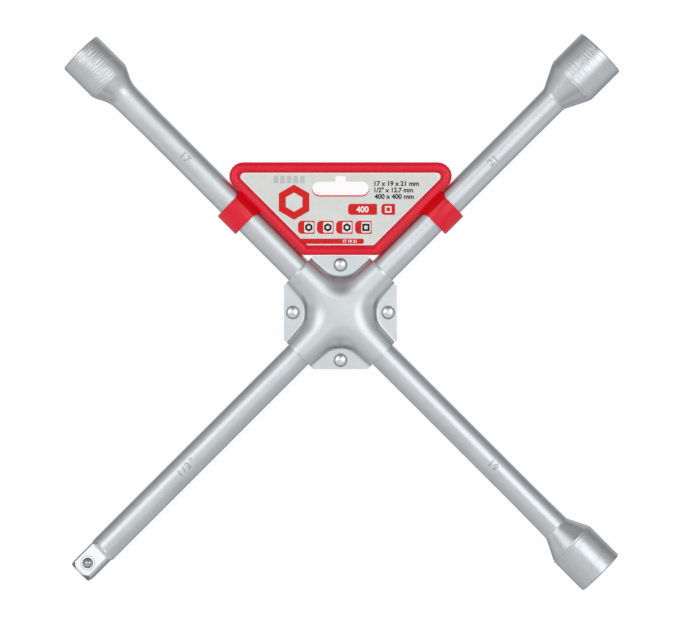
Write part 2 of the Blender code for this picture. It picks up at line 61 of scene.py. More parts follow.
BAR_CREASE = 26.0  # degrees from which an edge of a bar stays sharp
ROUND = 72  # columns of a small turned piece
SQRT_HALF = math.sqrt(0.5)
# Turns +Y onto the diagonal between the arms that carry the tag, which is up in the picture.
DIAGONAL = Matrix.Rotation(-math.pi / 4, 4, "Z")


class Body(Enum):
    """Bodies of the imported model."""

    WRENCH = "wrench"
    BALL = "ball"
    TAG = "tag"


class Slot(Enum):
    """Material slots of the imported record."""

    BAR = "satin_plate"
    SHEET = "satin_plate_sheet"
    RIVET = "rivet_steel"
    BALL = "ball_steel"
    SPRING = "spring_steel"
    HOLDER = "red_plastic"
    CARD = "printed_card"


class Axis(Enum):
    """Line that a bar lies on."""

    X = "x"
    Y = "y"

    def points(self, along: np.ndarray, side: np.ndarray, front: np.ndarray) -> np.ndarray:
        """Stack places along a bar on this line, to its side and to the front into points."""
        return np.stack((along, side, front) if self is Axis.X else (side, along, front), axis=-1)


class Notch(Enum):
    """Side of a bar that is cut away where the bars cross."""

    FRONT = 1
    REAR = -1


# ---- Finishes ----


def linear(colour: str) -> tuple[float, float, float, float]:
    """Turn an sRGB hex value into linear light.

    Args:
        colour: value such as "#c8ccd0".

    Returns:
        Red, green, blue and full alpha.
    """
    channel = np.array([int(colour[k : k + 2], 16) for k in (1, 3, 5)]) / 255.0
    light = np.where(channel <= 0.04045, channel / 12.92, ((channel + 0.055) / 1.055) ** 2.4)
    return (*light.tolist(), 1.0)


def add_node(tree: bpy.types.NodeTree, kind: str, settings: dict | None = None, **sockets: object) -> bpy.types.Node:
    """Add a node with its settings and links.

    Args:
        tree: node tree that gets it.
        kind: Blender's name of the node type.
        settings: the node's own properties.
        sockets: inputs by name, with _ for a space; an output socket is linked, anything else is set.

    Returns:
        The new node.
    """
    made = tree.nodes.new(kind)
    for key, value in (settings or {}).items():
        setattr(made, key, value)
    for key, value in sockets.items():
        socket = made.inputs[key.replace("_", " ")]
        if isinstance(value, bpy.types.NodeSocket):
            tree.links.new(value, socket)
        else:
            socket.default_value = value
    return made


def per_metre(size: float) -> float:
    """Texture scale of a pattern whose feature is size millimetres wide."""
    return 1.0 / (size * MM)


@dataclass(frozen=True)
class Finish:
    """A real surface: two close tones in cloudy patches, uneven gloss and a fine relief.

    The relief is a noise whose features are as long in X, Y and Z as grain says, so that it can be drawn out into
    lines. What each finish gives the eye stands beside it below.
    """

    name: str
    light: str
    dark: str
    roughness: float
    uneven: float  # roughness gained from the shiniest patch to the dullest
    patch: float  # width of a patch
    grain: tuple[float, float, float]
    relief: float  # height of the grain
    metallic: float = 0.0
    ior: float = 1.5

    def material(self) -> bpy.types.Material:
        """Make the material once and hand out the same one after that.

        Returns:
            The Blender material.
        """
        known = bpy.data.materials.get(self.name)
        if known is not None:
            return known
        made = bpy.data.materials.new(self.name)
        made.use_nodes = True
        tree = made.node_tree
        shader = tree.nodes["Principled BSDF"]
        shader.inputs["Metallic"].default_value = self.metallic
        shader.inputs["IOR"].default_value = self.ior
        spot = add_node(tree, "ShaderNodeTexCoord").outputs["Object"]
        cloud = add_node(
            tree, "ShaderNodeTexNoise", Vector=spot, Scale=per_metre(self.patch), Detail=4.0, Roughness=0.55
        ).outputs["Fac"]
        # Noise keeps to the middle of its range, so the patches are spread out before they set tone and gloss.
        spread = add_node(tree, "ShaderNodeMapRange", Value=cloud, From_Min=0.3, From_Max=0.7).outputs["Result"]
        tone = add_node(tree, "ShaderNodeMixRGB", Fac=spread, Color1=linear(self.dark), Color2=linear(self.light))
        low, high = self.roughness - self.uneven / 2, self.roughness + self.uneven / 2
        gloss = add_node(tree, "ShaderNodeMapRange", Value=spread, To_Min=low, To_Max=high)
        drawn = add_node(tree, "ShaderNodeMapping", Vector=spot, Scale=tuple(per_metre(size) for size in self.grain))
        lines = add_node(tree, "ShaderNodeTexNoise", Vector=drawn.outputs["Vector"], Scale=1.0, Detail=2.0)
        bump = add_node(tree, "ShaderNodeBump", Height=lines.outputs["Fac"], Strength=1.0, Distance=self.relief * MM)
        tree.links.new(tone.outputs["Color"], shader.inputs["Base Color"])
        tree.links.new(gloss.outputs["Result"], shader.inputs["Roughness"])
        tree.links.new(bump.outputs["Normal"], shader.inputs["Normal"])
        return made


# Satin chrome on forged bar, belt-finished round the bar before plating: soft grey reflections with faint rings. The
# real rings are 0.1 mm apart; they are drawn 0.6 mm apart so that the render can show them.
FORGED = {
    Axis.X: Finish("satin_chrome_forged_x", "#d3d7da", "#cbcfd2", 0.36, 0.05, 16.0, (0.6, 5.0, 5.0), 0.03, 1.0),
    Axis.Y: Finish("satin_chrome_forged_y", "#d3d7da", "#cbcfd2", 0.36, 0.05, 16.0, (5.0, 0.6, 5.0), 0.03, 1.0),
}
# The same chrome over a head turned on a lathe: tool marks ring the head, drawn 1 mm apart for the same reason.
TURNED = {
    Axis.X: Finish("satin_chrome_turned_x", "#d3d7da", "#c8cccf", 0.34, 0.08, 9.0, (1.0, 11.0, 11.0), 0.2, 1.0),
    Axis.Y: Finish("satin_chrome_turned_y", "#d3d7da", "#c8cccf", 0.34, 0.08, 9.0, (11.0, 1.0, 11.0), 0.2, 1.0),
}
# Ground square under the same chrome: smoother and brighter than the rod, with faint lines across it.
GROUND = Finish("bright_chrome_ground", "#dcdfe1", "#d2d5d8", 0.26, 0.06, 3.0, (2.5, 0.5, 2.5), 0.004, 1.0)
# The drive's tip, inside its edges: darker than the chrome and matt.
DARK_MATT_TIP = Finish("dark_matt_tip", "#9b9fa1", "#8b8f92", 0.42, 0.08, 2.0, (0.5, 1.5, 1.5), 0.006, 1.0)
# Satin chrome on drawn sheet: the same grey, with the faint orange peel that deep drawing leaves.
SATIN_SHEET = Finish("satin_chrome_sheet", "#d1d6d8", "#cbd0d2", 0.36, 0.05, 9.0, (1.6, 1.6, 1.6), 0.004, 1.0)
# Chromed rivet head, set with a snap tool: brighter and smoother than the sheet round it.
RIVET_CHROME = Finish("chromed_rivet", "#dcdfe2", "#d3d7da", 0.29, 0.05, 3.0, (0.8, 0.8, 0.8), 0.003, 1.0)
# Hardened ball, ground and lapped: nearly a mirror, a little darker than the plate.
BALL_STEEL = Finish("lapped_ball_steel", "#b4b6b8", "#a6a8ab", 0.12, 0.04, 1.5, (0.5, 0.5, 0.5), 0.001, 1.0)
# Hard-drawn spring wire: dull grey, with draw lines along it too fine to follow, so it is a plain fine grain.
SPRING_WIRE = Finish("drawn_spring_wire", "#8f9194", "#7c7e82", 0.38, 0.08, 0.8, (0.2, 0.2, 0.2), 0.004, 1.0)
# Plate punched by a die: it scatters light and reads a little darker. On the rivets the same finish is painted shade,
# the dark ring round each head's rim.
PUNCHED_AND_RIM_SHADE = Finish("punched_plate_and_rim_shade", "#b3b7ba", "#a4a8ab", 0.46, 0.06, 2.0, (0.4, 0.4, 0.4), 0.01, 1.0)
# Polypropylene, injection-moulded in a fine-spark tool: strong red with a soft sheen and slight flow clouds.
MOULDED_RED = Finish(
    "moulded_red_polypropylene", "#ee0430", "#e4022a", 0.26, 0.06, 11.0, (0.45, 0.45, 0.45), 0.008, ior=1.44
)
# The same plastic in the web beside the tray, under a millimetre thick, painted a deeper red: painted shade for the
# valley between strap and tray.
SHADED_WEB_RED = Finish(
    "shaded_web_red_polypropylene", "#dc0312", "#d4020f", 0.4, 0.08, 11.0, (0.45, 0.45, 0.45), 0.008, ior=1.15
)
# Coated carton board: warm pale grey, even, with the slightest fibre.
CARD_BOARD = Finish("coated_carton_board", "#e3e5e0", "#dddfda", 0.5, 0.08, 6.0, (0.7, 0.25, 0.4), 0.006)
# Offset inks on the board: thin, even films with a faint mottle where the ink lay down.
INK_RED = Finish("offset_ink_red", "#e21616", "#d81010", 0.42, 0.06, 1.6, (0.3, 0.3, 0.3), 0.003, ior=1.32)
INK_DARK = Finish("offset_ink_dark", "#1d1a1b", "#141213", 0.42, 0.06, 1.6, (0.3, 0.3, 0.3), 0.003, ior=1.32)
INK_PALE = Finish("offset_ink_pale", "#c8cac7", "#c3c5c2", 0.46, 0.06, 1.6, (0.3, 0.3, 0.3), 0.003)
INK_WHITE = Finish("offset_ink_white", "#f1f1ee", "#ebebe8", 0.42, 0.06, 1.6, (0.3, 0.3, 0.3), 0.003)


# ---- Surfaces ----


def circle(turn: np.ndarray) -> np.ndarray:
    """Points of the unit circle at each turn: (cos, sin)."""
    return np.stack([np.cos(turn), np.sin(turn)], axis=-1)


def raised(plan: np.ndarray, height: np.ndarray | float) -> np.ndarray:
    """Points over places (x, y), all at one height or each at its own."""
    return np.concatenate([plan, np.broadcast_to(np.asarray(height)[..., None], (*plan.shape[:-1], 1))], axis=-1)


@dataclass
class Surface:
    """Points in millimetres, one per row, and the faces between them."""

    points: np.ndarray
    faces: list[list[int]]

    @classmethod
    def grid(cls, points: np.ndarray, around: bool = True, along: bool = False) -> "Surface":
        """Join a grid of points by quads, each from a point to its neighbours in the row and the next row.

        Args:
            points: array of rows, columns and three coordinates.
            around: close each row into a ring.
            along: join the last row to the first.

        Returns:
            The surface.
        """
        rows, columns = points.shape[:2]
        row = np.arange(rows if along else rows - 1)[:, None]
        column = np.arange(columns if around else columns - 1)[None, :]
        below = (row + 1) % rows
        beside = (column + 1) % columns
        corners = (row * columns + column, row * columns + beside, below * columns + beside, below * columns + column)
        return cls(points.reshape(-1, 3), np.stack(corners, axis=-1).reshape(-1, 4).tolist())

    @classmethod
    def turned(cls, profile: np.ndarray, columns: int, along: bool = False) -> "Surface":
        """Turn a line round Z: each of its points becomes a ring at its radius and height.

        Args:
            profile: points (radius, height) of the line.
            columns: points of a ring.
            along: close the line.

        Returns:
            The surface.
        """
        turn = np.linspace(0.0, math.tau, columns, endpoint=False)
        ring = raised(circle(turn), 1.0)
        return cls.grid(profile[:, None, [0, 0, 1]] * ring[None], along=along)

    @classmethod
    def plate(cls, outline: np.ndarray, low: float, high: float) -> "Surface":
        """Raise a closed outline from low to high: two rings, a wall between them and a face on each."""
        return cls.grid(np.stack([raised(outline, low), raised(outline, high)])).capped(len(outline))

    def capped(self, count: int) -> "Surface":
        """Close the first and the last ring, of count points each, by a face."""
        last = len(self.points) - count
        return Surface(self.points, self.faces + [list(range(count)), list(range(last, last + count))])

    def joined(self, *others: "Surface") -> "Surface":
        """Put this surface and others together as loose shells.

        Args:
            others: the other surfaces.

        Returns:
            All of them as one.
        """
        points, faces = [self.points], list(self.faces)
        count = len(self.points)
        for other in others:
            faces += [[index + count for index in face] for face in other.faces]
            points.append(other.points)
            count += len(other.points)
        return Surface(np.concatenate(points), faces)

    def moved(self, matrix: Matrix) -> "Surface":
        """Carry every point by a matrix whose shift is in millimetres."""
        turn = np.array(matrix)
        return Surface(self.points @ turn[:3, :3].T + turn[:3, 3], self.faces)


def filleted(corners: list[tuple[float, float]], radii: list[float], steps: int = 8) -> np.ndarray:
    """Round the corners of a closed line by arcs.

    An arc touches both sides at radius / tan(half the corner's angle) from the corner, or half a side where that is
    less, and its centre stands on the corner's bisector. A corner of radius 0 stays a point.

    Args:
        corners: the line's corners.
        radii: one radius for each corner.
        steps: pieces of an arc.

    Returns:
        Points of the rounded line.
    """
    corner = np.asarray(corners, dtype=float)
    back = np.roll(corner, 1, axis=0) - corner
    ahead = np.roll(corner, -1, axis=0) - corner
    sides = np.stack([np.linalg.norm(back, axis=1), np.linalg.norm(ahead, axis=1)])
    back, ahead = back / sides[0][:, None], ahead / sides[1][:, None]
    half = np.arccos(np.clip((back * ahead).sum(axis=1), -1.0, 1.0)) / 2
    reach = np.minimum(np.asarray(radii) / np.tan(half), sides.min(axis=0) / 2)
    radius = reach * np.tan(half)
    bisector = back + ahead
    bisector /= np.maximum(np.linalg.norm(bisector, axis=1), 1e-9)[:, None]
    centre = corner + bisector * (radius / np.sin(half))[:, None]
    first = corner + back * reach[:, None] - centre
    turn = np.copysign(math.pi - 2 * half, ahead[:, 0] * back[:, 1] - ahead[:, 1] * back[:, 0])
    angle = turn[:, None, None] * np.linspace(0.0, 1.0, steps + 1)[None, :, None]
    second = np.stack([-first[:, 1], first[:, 0]], axis=1)
    line = (centre[:, None] + np.cos(angle) * first[:, None] + np.sin(angle) * second[:, None]).reshape(-1, 2)
    return line[np.linalg.norm(line - np.roll(line, 1, axis=0), axis=1) > 1e-6]


def ray_reach(line: np.ndarray, turn: np.ndarray) -> np.ndarray:
    """Distance from the origin to a closed line along each ray.

    A ray meets a side where start + share * side = reach * ray, which two cross products solve for every pair of ray
    and side at once; the farthest true hit counts.

    Args:
        line: points of the line, which goes once round the origin.
        turn: directions of the rays.

    Returns:
        One distance for each ray.
    """
    side = np.roll(line, -1, axis=0) - line
    ray = circle(turn)[:, None]
    with np.errstate(divide="ignore", invalid="ignore"):
        across = ray[..., 0] * side[:, 1] - ray[..., 1] * side[:, 0]
        share = (line[:, 0] * ray[..., 1] - line[:, 1] * ray[..., 0]) / across
        reach = (line[:, 0] * side[:, 1] - line[:, 1] * side[:, 0]) / across
    true = (share > -1e-6) & (share < 1 + 1e-6) & (reach > 0.0)
    return np.where(true, reach, 0.0).max(axis=1)


def soft_least(one: np.ndarray, other: np.ndarray, blend: float) -> np.ndarray:
    """Lesser of two fields, eased by a parabola where they come within blend of each other."""
    near = np.clip(blend - np.abs(one - other), 0.0, None) / blend
    return np.minimum(one, other) - near**2 * blend / 4


def square_share(off_flat: np.ndarray) -> np.ndarray:
    """Half width of a square over its radius at each turn off a flat: the greater of |cos| and |sin|."""
    return np.maximum(np.abs(np.cos(off_flat)), np.abs(np.sin(off_flat)))


def smooth_step(share: np.ndarray) -> np.ndarray:
    """Ease from 0 to 1 with level ends: 3 t^2 - 2 t^3."""
    held = np.clip(share, 0.0, 1.0)
    return held * held * (3.0 - 2.0 * held)


def close_mesh(mesh: bpy.types.Mesh, crease: float) -> None:
    """Weld a mesh, turn its faces outward and shade it smooth between its creases.

    Args:
        mesh: the mesh to finish.
        crease: angle in degrees from which an edge stays sharp.
    """
    shell = bmesh.new()
    shell.from_mesh(mesh)
    bmesh.ops.remove_doubles(shell, verts=shell.verts, dist=WELD)
    bmesh.ops.dissolve_degenerate(shell, edges=shell.edges, dist=WELD)
    bmesh.ops.recalc_face_normals(shell, faces=shell.faces)
    is_sheet = any(edge.is_boundary for edge in shell.edges)
    if is_sheet and sum(face.normal.z * face.calc_area() for face in shell.faces) < 0.0:
        bmesh.ops.reverse_faces(shell, faces=shell.faces)
    shell.to_mesh(mesh)
    shell.free()
    mesh.shade_smooth()
    mesh.set_sharp_from_angle(angle=math.radians(crease))


def add_object(name: str, surface: Surface, crease: float) -> bpy.types.Object:
    """Put a surface into the scene.

    Args:
        name: name of the object.
        surface: its surface, in millimetres.
        crease: angle in degrees from which its edges stay sharp.

    Returns:
        The object, which sits at the origin.
    """
    mesh = bpy.data.meshes.new(name)
    mesh.from_pydata((surface.points * MM).tolist(), [], surface.faces)
    close_mesh(mesh, crease)
    made = bpy.data.objects.new(name, mesh)
    bpy.context.scene.collection.objects.link(made)
    return made


def put_piece(
    name: str,
    surface: Surface,
    finish: Finish,
    body: Body,
    nodes: tuple[str, ...] = (),
    crease: float = 30.0,
) -> bpy.types.Object:
    """Make a piece from a surface, dress it and set it on its body.

    Args:
        name: name of the piece.
        surface: its surface, in millimetres.
        finish: what it is made of.
        body: body that it moves with.
        nodes: CAD nodes that it stands for.
        crease: angle in degrees from which its edges stay sharp.

    Returns:
        The piece.
    """
    piece = add_object(name, surface, crease)
    piece.data.materials.append(finish.material())
    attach(piece, body.value)
    if nodes:
        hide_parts(*nodes)
    LOG.info("%s: %d faces on %s", name, len(piece.data.polygons), body.value)
    return piece


def dress(piece: bpy.types.Object, finish: Finish, chosen: np.ndarray) -> None:
    """Give some faces of a piece a second finish.

    Args:
        piece: the piece.
        finish: the other finish.
        chosen: True for each face that gets it.
    """
    place = len(piece.data.materials)
    piece.data.materials.append(finish.material())
    index = np.zeros(len(chosen), dtype=np.int32)
    piece.data.polygons.foreach_get("material_index", index)
    piece.data.polygons.foreach_set("material_index", np.where(chosen, place, index).astype(np.int32))


def middles(piece: bpy.types.Object) -> np.ndarray:
    """Middles of a piece's faces.

    Args:
        piece: the piece.

    Returns:
        Points in millimetres, one for each face.
    """
    flat = np.zeros(len(piece.data.polygons) * 3)
    piece.data.polygons.foreach_get("center", flat)
    return flat.reshape(-1, 3) / MM


def combine(piece: bpy.types.Object, tool: Surface, operation: str, crease: float = 30.0) -> None:
    """Cut a closed surface from a piece, or weld it on, and keep the result as the piece's mesh.

    Args:
        piece: the piece to change.
        tool: the other surface, in millimetres.
        operation: Blender's name of the operation.
        crease: angle in degrees from which the piece's edges stay sharp.
    """
    helper = add_object("tool", tool, crease)
    step = piece.modifiers.new("step", "BOOLEAN")
    step.operation = operation
    step.object = helper
    step.solver = "EXACT"
    made = bpy.data.meshes.new_from_object(piece.evaluated_get(bpy.context.evaluated_depsgraph_get()))
    mesh, old = helper.data, piece.data
    piece.modifiers.clear()
    piece.data = made
    made.name = old.name
    bpy.data.objects.remove(helper)
    bpy.data.meshes.remove(mesh)
    bpy.data.meshes.remove(old)
    close_mesh(made, crease)


# ---- Bars ----


@dataclass
class SocketEnd:
    """Forged socket at the end of an arm: swelling rod, cone, head, hex and stud bore."""

    flats: float
    head: float  # radius
    neck: float  # radius
    neck_blend: float
    flat_turn: float  # turn of a hex flat from the front, in degrees
    head_length: float = 22.2
    cone_slope: float = 0.5
    swell_length: float = 24.0
    shoulder: float = 0.25
    step: float = 0.45  # where the lathe stopped, between cone and head
    step_fillet: float = 0.1
    rim: float = 0.9
    hex_clearance: float = 0.2
    hex_depth: float = 18.0
    lead_in: float = 0.3
    lead_in_slope: float = 1.2
    bore_step: float = 0.8
    bore_depth: float = 5.0
    drill_point: float = 118.0

    def rows(self, turn: np.ndarray) -> np.ndarray:
        """Rings from the plain rod over the rim and down the socket to the drill's point.

        Outside, a ring is a circle of the filleted profile. Inside, the hex's radius is half its flats / cos(turn off
        the nearest flat); the mouth's cone runs in until it meets that radius, then the wall goes straight down.

        Args:
            turn: turns of the columns.

        Returns:
            Array of rings, columns and (radius, distance along the arm).
        """
        start = ARM_REACH - self.head_length
        neck_end = start - (self.head - self.neck) / self.cone_slope
        across = (self.flats + self.hex_clearance) / 2
        corner = across / math.cos(math.pi / 6)
        mouth = corner + self.lead_in
        line = [(ROD, neck_end - self.swell_length), (self.neck, neck_end)]
        line += [(self.head - self.step, start - 2 * self.step), (self.head - self.step, start), (self.head, start)]
        line += [(self.head, ARM_REACH), (mouth, ARM_REACH)]
        radii = [0.0, self.neck_blend, self.step_fillet, self.step_fillet, self.shoulder, self.rim, 0.0]
        outside = filleted(line, radii)
        rings = [np.repeat(outside[:, None], len(turn), axis=1)]

        off_flat = np.mod(turn - math.radians(self.flat_turn) + math.pi / 6, math.pi / 3) - math.pi / 6
        wall = across / np.cos(off_flat)
        deep = (mouth - wall) * self.lead_in_slope
        share = np.linspace(0.0, 1.0, 5)[1:, None]  # four rings on each of mouth, wall and floor
        floor = ARM_REACH - self.hex_depth
        bore = across - self.bore_step
        bottom = floor - self.bore_depth
        rings.append(np.stack([mouth + share * (wall - mouth), ARM_REACH - share * deep], axis=-1))
        level = ARM_REACH - deep
        rings.append(np.stack([wall + 0 * share, level + share * (floor - level)], axis=-1))
        rings.append(np.stack([wall + share * (bore - wall), floor + 0 * share * wall], axis=-1))
        drill = [(bore, floor), (bore, bottom), (0.0, bottom - bore / math.tan(math.radians(self.drill_point / 2)))]
        rings.append(np.repeat(np.array(drill)[:, None], len(turn), axis=1))
        return np.concatenate(rings)


@dataclass
class DriveEnd:
    """Square drive at the end of an arm, with drawn-in tip and corners left round by the swage."""

    flat: float = 6.35  # axis to a flat
    length: float = 16.3
    corner: float = 8.3  # radius over the corners
    runout: float = 1.9
    tip: float = 6.3  # radius over the corners at the tip
    tip_chamfer: float = 2.5
    tip_bevel: float = 1.4
    tip_inset: float = 0.15
    swage: float = 2.2
    roll: float = 8.0  # turn of a flat from the front, in degrees
    edge: float = 0.12  # softness of its edges
    lead: float = 7.0  # rod taken in before the square
    rings: int = 126
    tip_rings: tuple[float, ...] = (0.97, 0.6, 0.0)  # on the tip's face, as shares of its radius

    def rows(self, turn: np.ndarray) -> np.ndarray:
        """Rings from the plain rod to the middle of the tip.

        A ring's radius is the lesser of a turned profile and a square, half its width / max(|cos|, |sin|) of the turn
        off a flat; both change along the arm, and the lesser is eased so that the edges are soft.

        Args:
            turn: turns of the columns.

        Returns:
            Array of rings, columns and (radius, distance along the arm).
        """
        root = ARM_REACH - self.length
        along = np.linspace(root - self.lead, ARM_REACH, self.rings)[:, None]
        stops = [root - self.swage, root, ARM_REACH - self.tip_chamfer, ARM_REACH]
        turned = np.interp(along, stops, [ROD, self.corner, self.corner, self.tip])
        slope = (ROD - self.flat) / self.runout
        half = self.flat + np.clip(root - along, 0.0, None) * slope
        half = half - np.clip(along - ARM_REACH + self.tip_bevel, 0.0, None) * self.tip_inset / self.tip_bevel
        off_flat = turn - math.radians(self.roll)
        square = half / square_share(off_flat)
        radius = soft_least(turned + 0 * square, square, self.edge)
        side = np.stack([radius, along + 0 * radius], axis=-1)
        share = np.array(self.tip_rings)[:, None]
        end = np.stack([radius[-1] * share, ARM_REACH + 0 * share * radius[-1]], axis=-1)
        return np.concatenate([side, end])


@dataclass
class ForgedBar:
    """One bar: two worked ends and a plain rod with half of it cut away where the bars cross."""

    node: str
    low: SocketEnd | DriveEnd
    high: SocketEnd
    axis: Axis
    notch: Notch
    columns: int = 240
    lap_gap: float = 0.3
    lap_clearance: float = 0.3

    def surface(self) -> Surface:
        """Rings of both ends joined over the rod; the two rings in the notch are cut flat at the lap.

        A point is distance along the bar, radius * sin(turn) to the side and radius * cos(turn) to the front.

        Returns:
            The closed bar.
        """
        turn = np.linspace(0.0, math.tau, self.columns, endpoint=False)
        half = ROD + self.lap_clearance
        lap = np.stack([np.full(4, ROD), np.array([-half, -half, half, half])], axis=-1)
        low = self.low.rows(turn)[::-1] * (1.0, -1.0)
        rings = np.concatenate([low, np.repeat(lap[:, None], self.columns, axis=1), self.high.rows(turn)])
        radius, along = rings[..., 0], rings[..., 1]
        side, front = radius * np.sin(turn), radius * np.cos(turn)
        cut = slice(len(low) + 1, len(low) + 3)
        edge = self.notch.value * self.lap_gap / -2
        front[cut] = np.minimum(front[cut], edge) if self.notch is Notch.FRONT else np.maximum(front[cut], edge)
        return Surface.grid(self.axis.points(along, side, front))

    def build(self) -> bpy.types.Object:
        """Make the bar, set it on the wrench and dress its worked ends.

        Returns:
            The bar.
        """
        bar = put_piece(self.node, self.surface(), FORGED[self.axis], Body.WRENCH, (self.node,), BAR_CREASE)
        along = middles(bar)[:, 0 if self.axis is Axis.X else 1]
        dress(bar, TURNED[self.axis], along > ARM_REACH - self.high.head_length)
        if isinstance(self.low, SocketEnd):
            dress(bar, TURNED[self.axis], along < self.low.head_length - ARM_REACH)
        else:
            dress(bar, GROUND, along < self.low.length - ARM_REACH)
            _, side, front = middles(bar).T
            off_flat = np.arctan2(side, front) - math.radians(self.low.roll)
            reach = np.hypot(side, front) * square_share(off_flat)
            tip = along < self.low.tip_chamfer - ARM_REACH
            # The tip inside its edges gets the darker, matt finish.
            dress(bar, DARK_MATT_TIP, tip & (reach < self.low.flat - self.low.edge))
        return bar


@dataclass
class SizeFigures:
    """Figures punched on the crest of an arm."""

    name: str
    text: str
    axis: Axis
    place: float  # where their middle stands on the axis
    spacing: float = 1.1  # of the figures, as a share of the font's own
    bold: float = 0.02  # the nine of this font breaks open at 0.01 and at 0.03
    height: float = 4.2
    proud: float = 0.03
    sunk: float = 0.15
    slices: float = 0.4  # between cuts across the line

    def build(self) -> None:
        """Lay the figures on the bar and set them on the wrench.

        A point of the flat text goes along the bar by x, round it by y / radius and out by z, so the figures follow
        the rod. They are sliced across first, because a long face would cut through the bend.
        """
        flat = lettering(self.text, self.height, self.slices, self.bold, self.spacing)
        x, y, z = flat.points.T
        radius = np.where(z > 0.0, ROD + self.proud, ROD - self.sunk)
        turn = y / ROD
        side, front = radius * np.sin(turn), radius * np.cos(turn)
        along = self.place + x if self.axis is Axis.X else self.place - x
        bent = Surface(self.axis.points(along, side, front), flat.faces)
        put_piece(self.name, bent, PUNCHED_AND_RIM_SHADE, Body.WRENCH)


def lettering(text: str, height: float, slices: float = 0.0, bold: float = 0.0, spacing: float = 1.0) -> Surface:
    """Figures or letters as flat closed shells round the origin, from z = -1 to z = 1.

    Args:
        text: what they say.
        height: height of the line.
        slices: spacing of cuts across the line, or 0 for none.
        bold: growth of each stroke's edge, as a share of the font's size.
        spacing: distance between figures, as a share of the font's own.

    Returns:
        The shells, with their line along X.
    """
    curve = bpy.data.curves.new("lettering", "FONT")
    curve.body = text
    curve.extrude = 1.0
    curve.offset = bold
    curve.space_character = spacing
    holder = bpy.data.objects.new("lettering", curve)
    shell = bmesh.new()
    shell.from_mesh(holder.to_mesh())
    holder.to_mesh_clear()
    bpy.data.objects.remove(holder)
    bpy.data.curves.remove(curve)
    bmesh.ops.remove_doubles(shell, verts=shell.verts, dist=1e-5)
    points = np.array([vert.co for vert in shell.verts])
    low, high = points.min(axis=0), points.max(axis=0)
    scale = height / (high[1] - low[1])
    if slices:
        for level in np.arange(low[1] + slices / scale, high[1], slices / scale):
            everything = shell.verts[:] + shell.edges[:] + shell.faces[:]
            bmesh.ops.bisect_plane(shell, geom=everything, plane_co=(0, level, 0), plane_no=(0, 1, 0), dist=1e-6)
    shell.verts.index_update()
    points = np.array([vert.co for vert in shell.verts])
    faces = [[vert.index for vert in face.verts] for face in shell.faces]
    shell.free()
    middle = (low + high) / 2
    return Surface((points - middle) * (scale, scale, 1.0), faces)


# ---- Retaining ball ----


@dataclass
class BallDetent:
    """Sprung ball in the drive's front flat, held by the staked mouth of its bore."""

    drive: DriveEnd
    from_tip: float = 7.0
    ball: float = 3.175
    clearance: float = 0.15
    mouth: float = 2.9
    bore_depth: float = 10.4
    stake: float = 4.2
    stake_width: float = 0.7
    stake_depth: float = 0.7
    wire: float = 0.3
    coil: float = 2.2  # radius of the wire's middle
    turns: float = 4.5
    seat_gap: float = 0.2
    past: float = 2.0  # how far the cutter runs out of the flat

    def frame(self) -> Matrix:
        """Place of the bore: its own Z leaves the flat."""
        spot = Matrix.Translation((self.from_tip - ARM_REACH, 0.0, 0.0))
        return spot @ Matrix.Rotation(math.radians(-self.drive.roll), 4, "X")

    def height(self) -> float:
        """Height of the ball's centre when it rests against the mouth."""
        return self.drive.flat - math.sqrt((self.ball + self.clearance) ** 2 - self.mouth**2)

    def cut(self, bar: bpy.types.Object) -> None:
        """Cut the bore, whose neck follows the ball, and the ring pressed round its mouth.

        Args:
            bar: the bar with the drive.
        """
        seat = self.ball + self.clearance
        angle = np.linspace(math.pi / 2, math.asin(self.mouth / seat), 10)
        neck = (0.0, self.height()) + seat * circle(angle)[:, ::-1]
        floor = self.drive.flat - self.bore_depth
        above = self.drive.flat + self.past
        line = np.concatenate([[(0.0, floor), (seat, floor)], neck, [(self.mouth, above), (0.0, above)]])
        inner, middle = self.stake - self.stake_width, self.stake - self.stake_width / 2
        ring = np.array([(self.stake, above), (middle, self.drive.flat - self.stake_depth), (inner, above)])
        tool = Surface.turned(line, ROUND).joined(Surface.turned(ring, ROUND, along=True))
        combine(bar, tool.moved(self.frame()), "DIFFERENCE", BAR_CREASE)

    def build_ball(self) -> None:
        """Turn the ball from a half circle."""
        angle = np.linspace(0.0, math.pi, 41)
        line = (0.0, self.height()) + self.ball * circle(angle)[:, ::-1]
        surface = Surface.turned(line, ROUND).moved(self.frame())
        put_piece("detent_ball", surface, BALL_STEEL, Body.BALL, ("detent_ball",))

    def build_spring(self) -> None:
        """Carry a circle along a helix that stands on the bore's floor, with both ends closed to a point.

        The wire's circle lies in the plane of the radial direction and the normal of the helix's slope.
        """
        floor = self.drive.flat - self.bore_depth
        bottom = floor + self.wire + self.seat_gap
        top = self.height() - math.sqrt((self.ball + self.wire + self.seat_gap) ** 2 - self.coil**2)
        share = np.linspace(0.0, 1.0, 181)
        turn = math.tau * self.turns * share
        out = raised(circle(turn), 0.0)
        path = out * self.coil + np.stack([0 * turn, 0 * turn, bottom + (top - bottom) * share], axis=-1)
        ahead = np.gradient(path, axis=0)
        ahead /= np.linalg.norm(ahead, axis=1)[:, None]
        up = np.cross(ahead, out)
        girth = np.linspace(0.0, math.tau, 20, endpoint=False)[None, :, None]
        ends = np.concatenate([[0], np.arange(len(share)), [len(share) - 1]])
        thick = np.concatenate([[0.0], np.full(len(share), self.wire), [0.0]])[:, None, None]
        tube = path[ends][:, None] + thick * (np.cos(girth) * out[ends][:, None] + np.sin(girth) * up[ends][:, None])
        surface = Surface.grid(tube).moved(self.frame())
        node = "detent_spring"
        spring = put_piece(node, surface, SPRING_WIRE, Body.WRENCH, (node,), crease=50.0)
        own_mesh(spring)


# ---- Hub ----


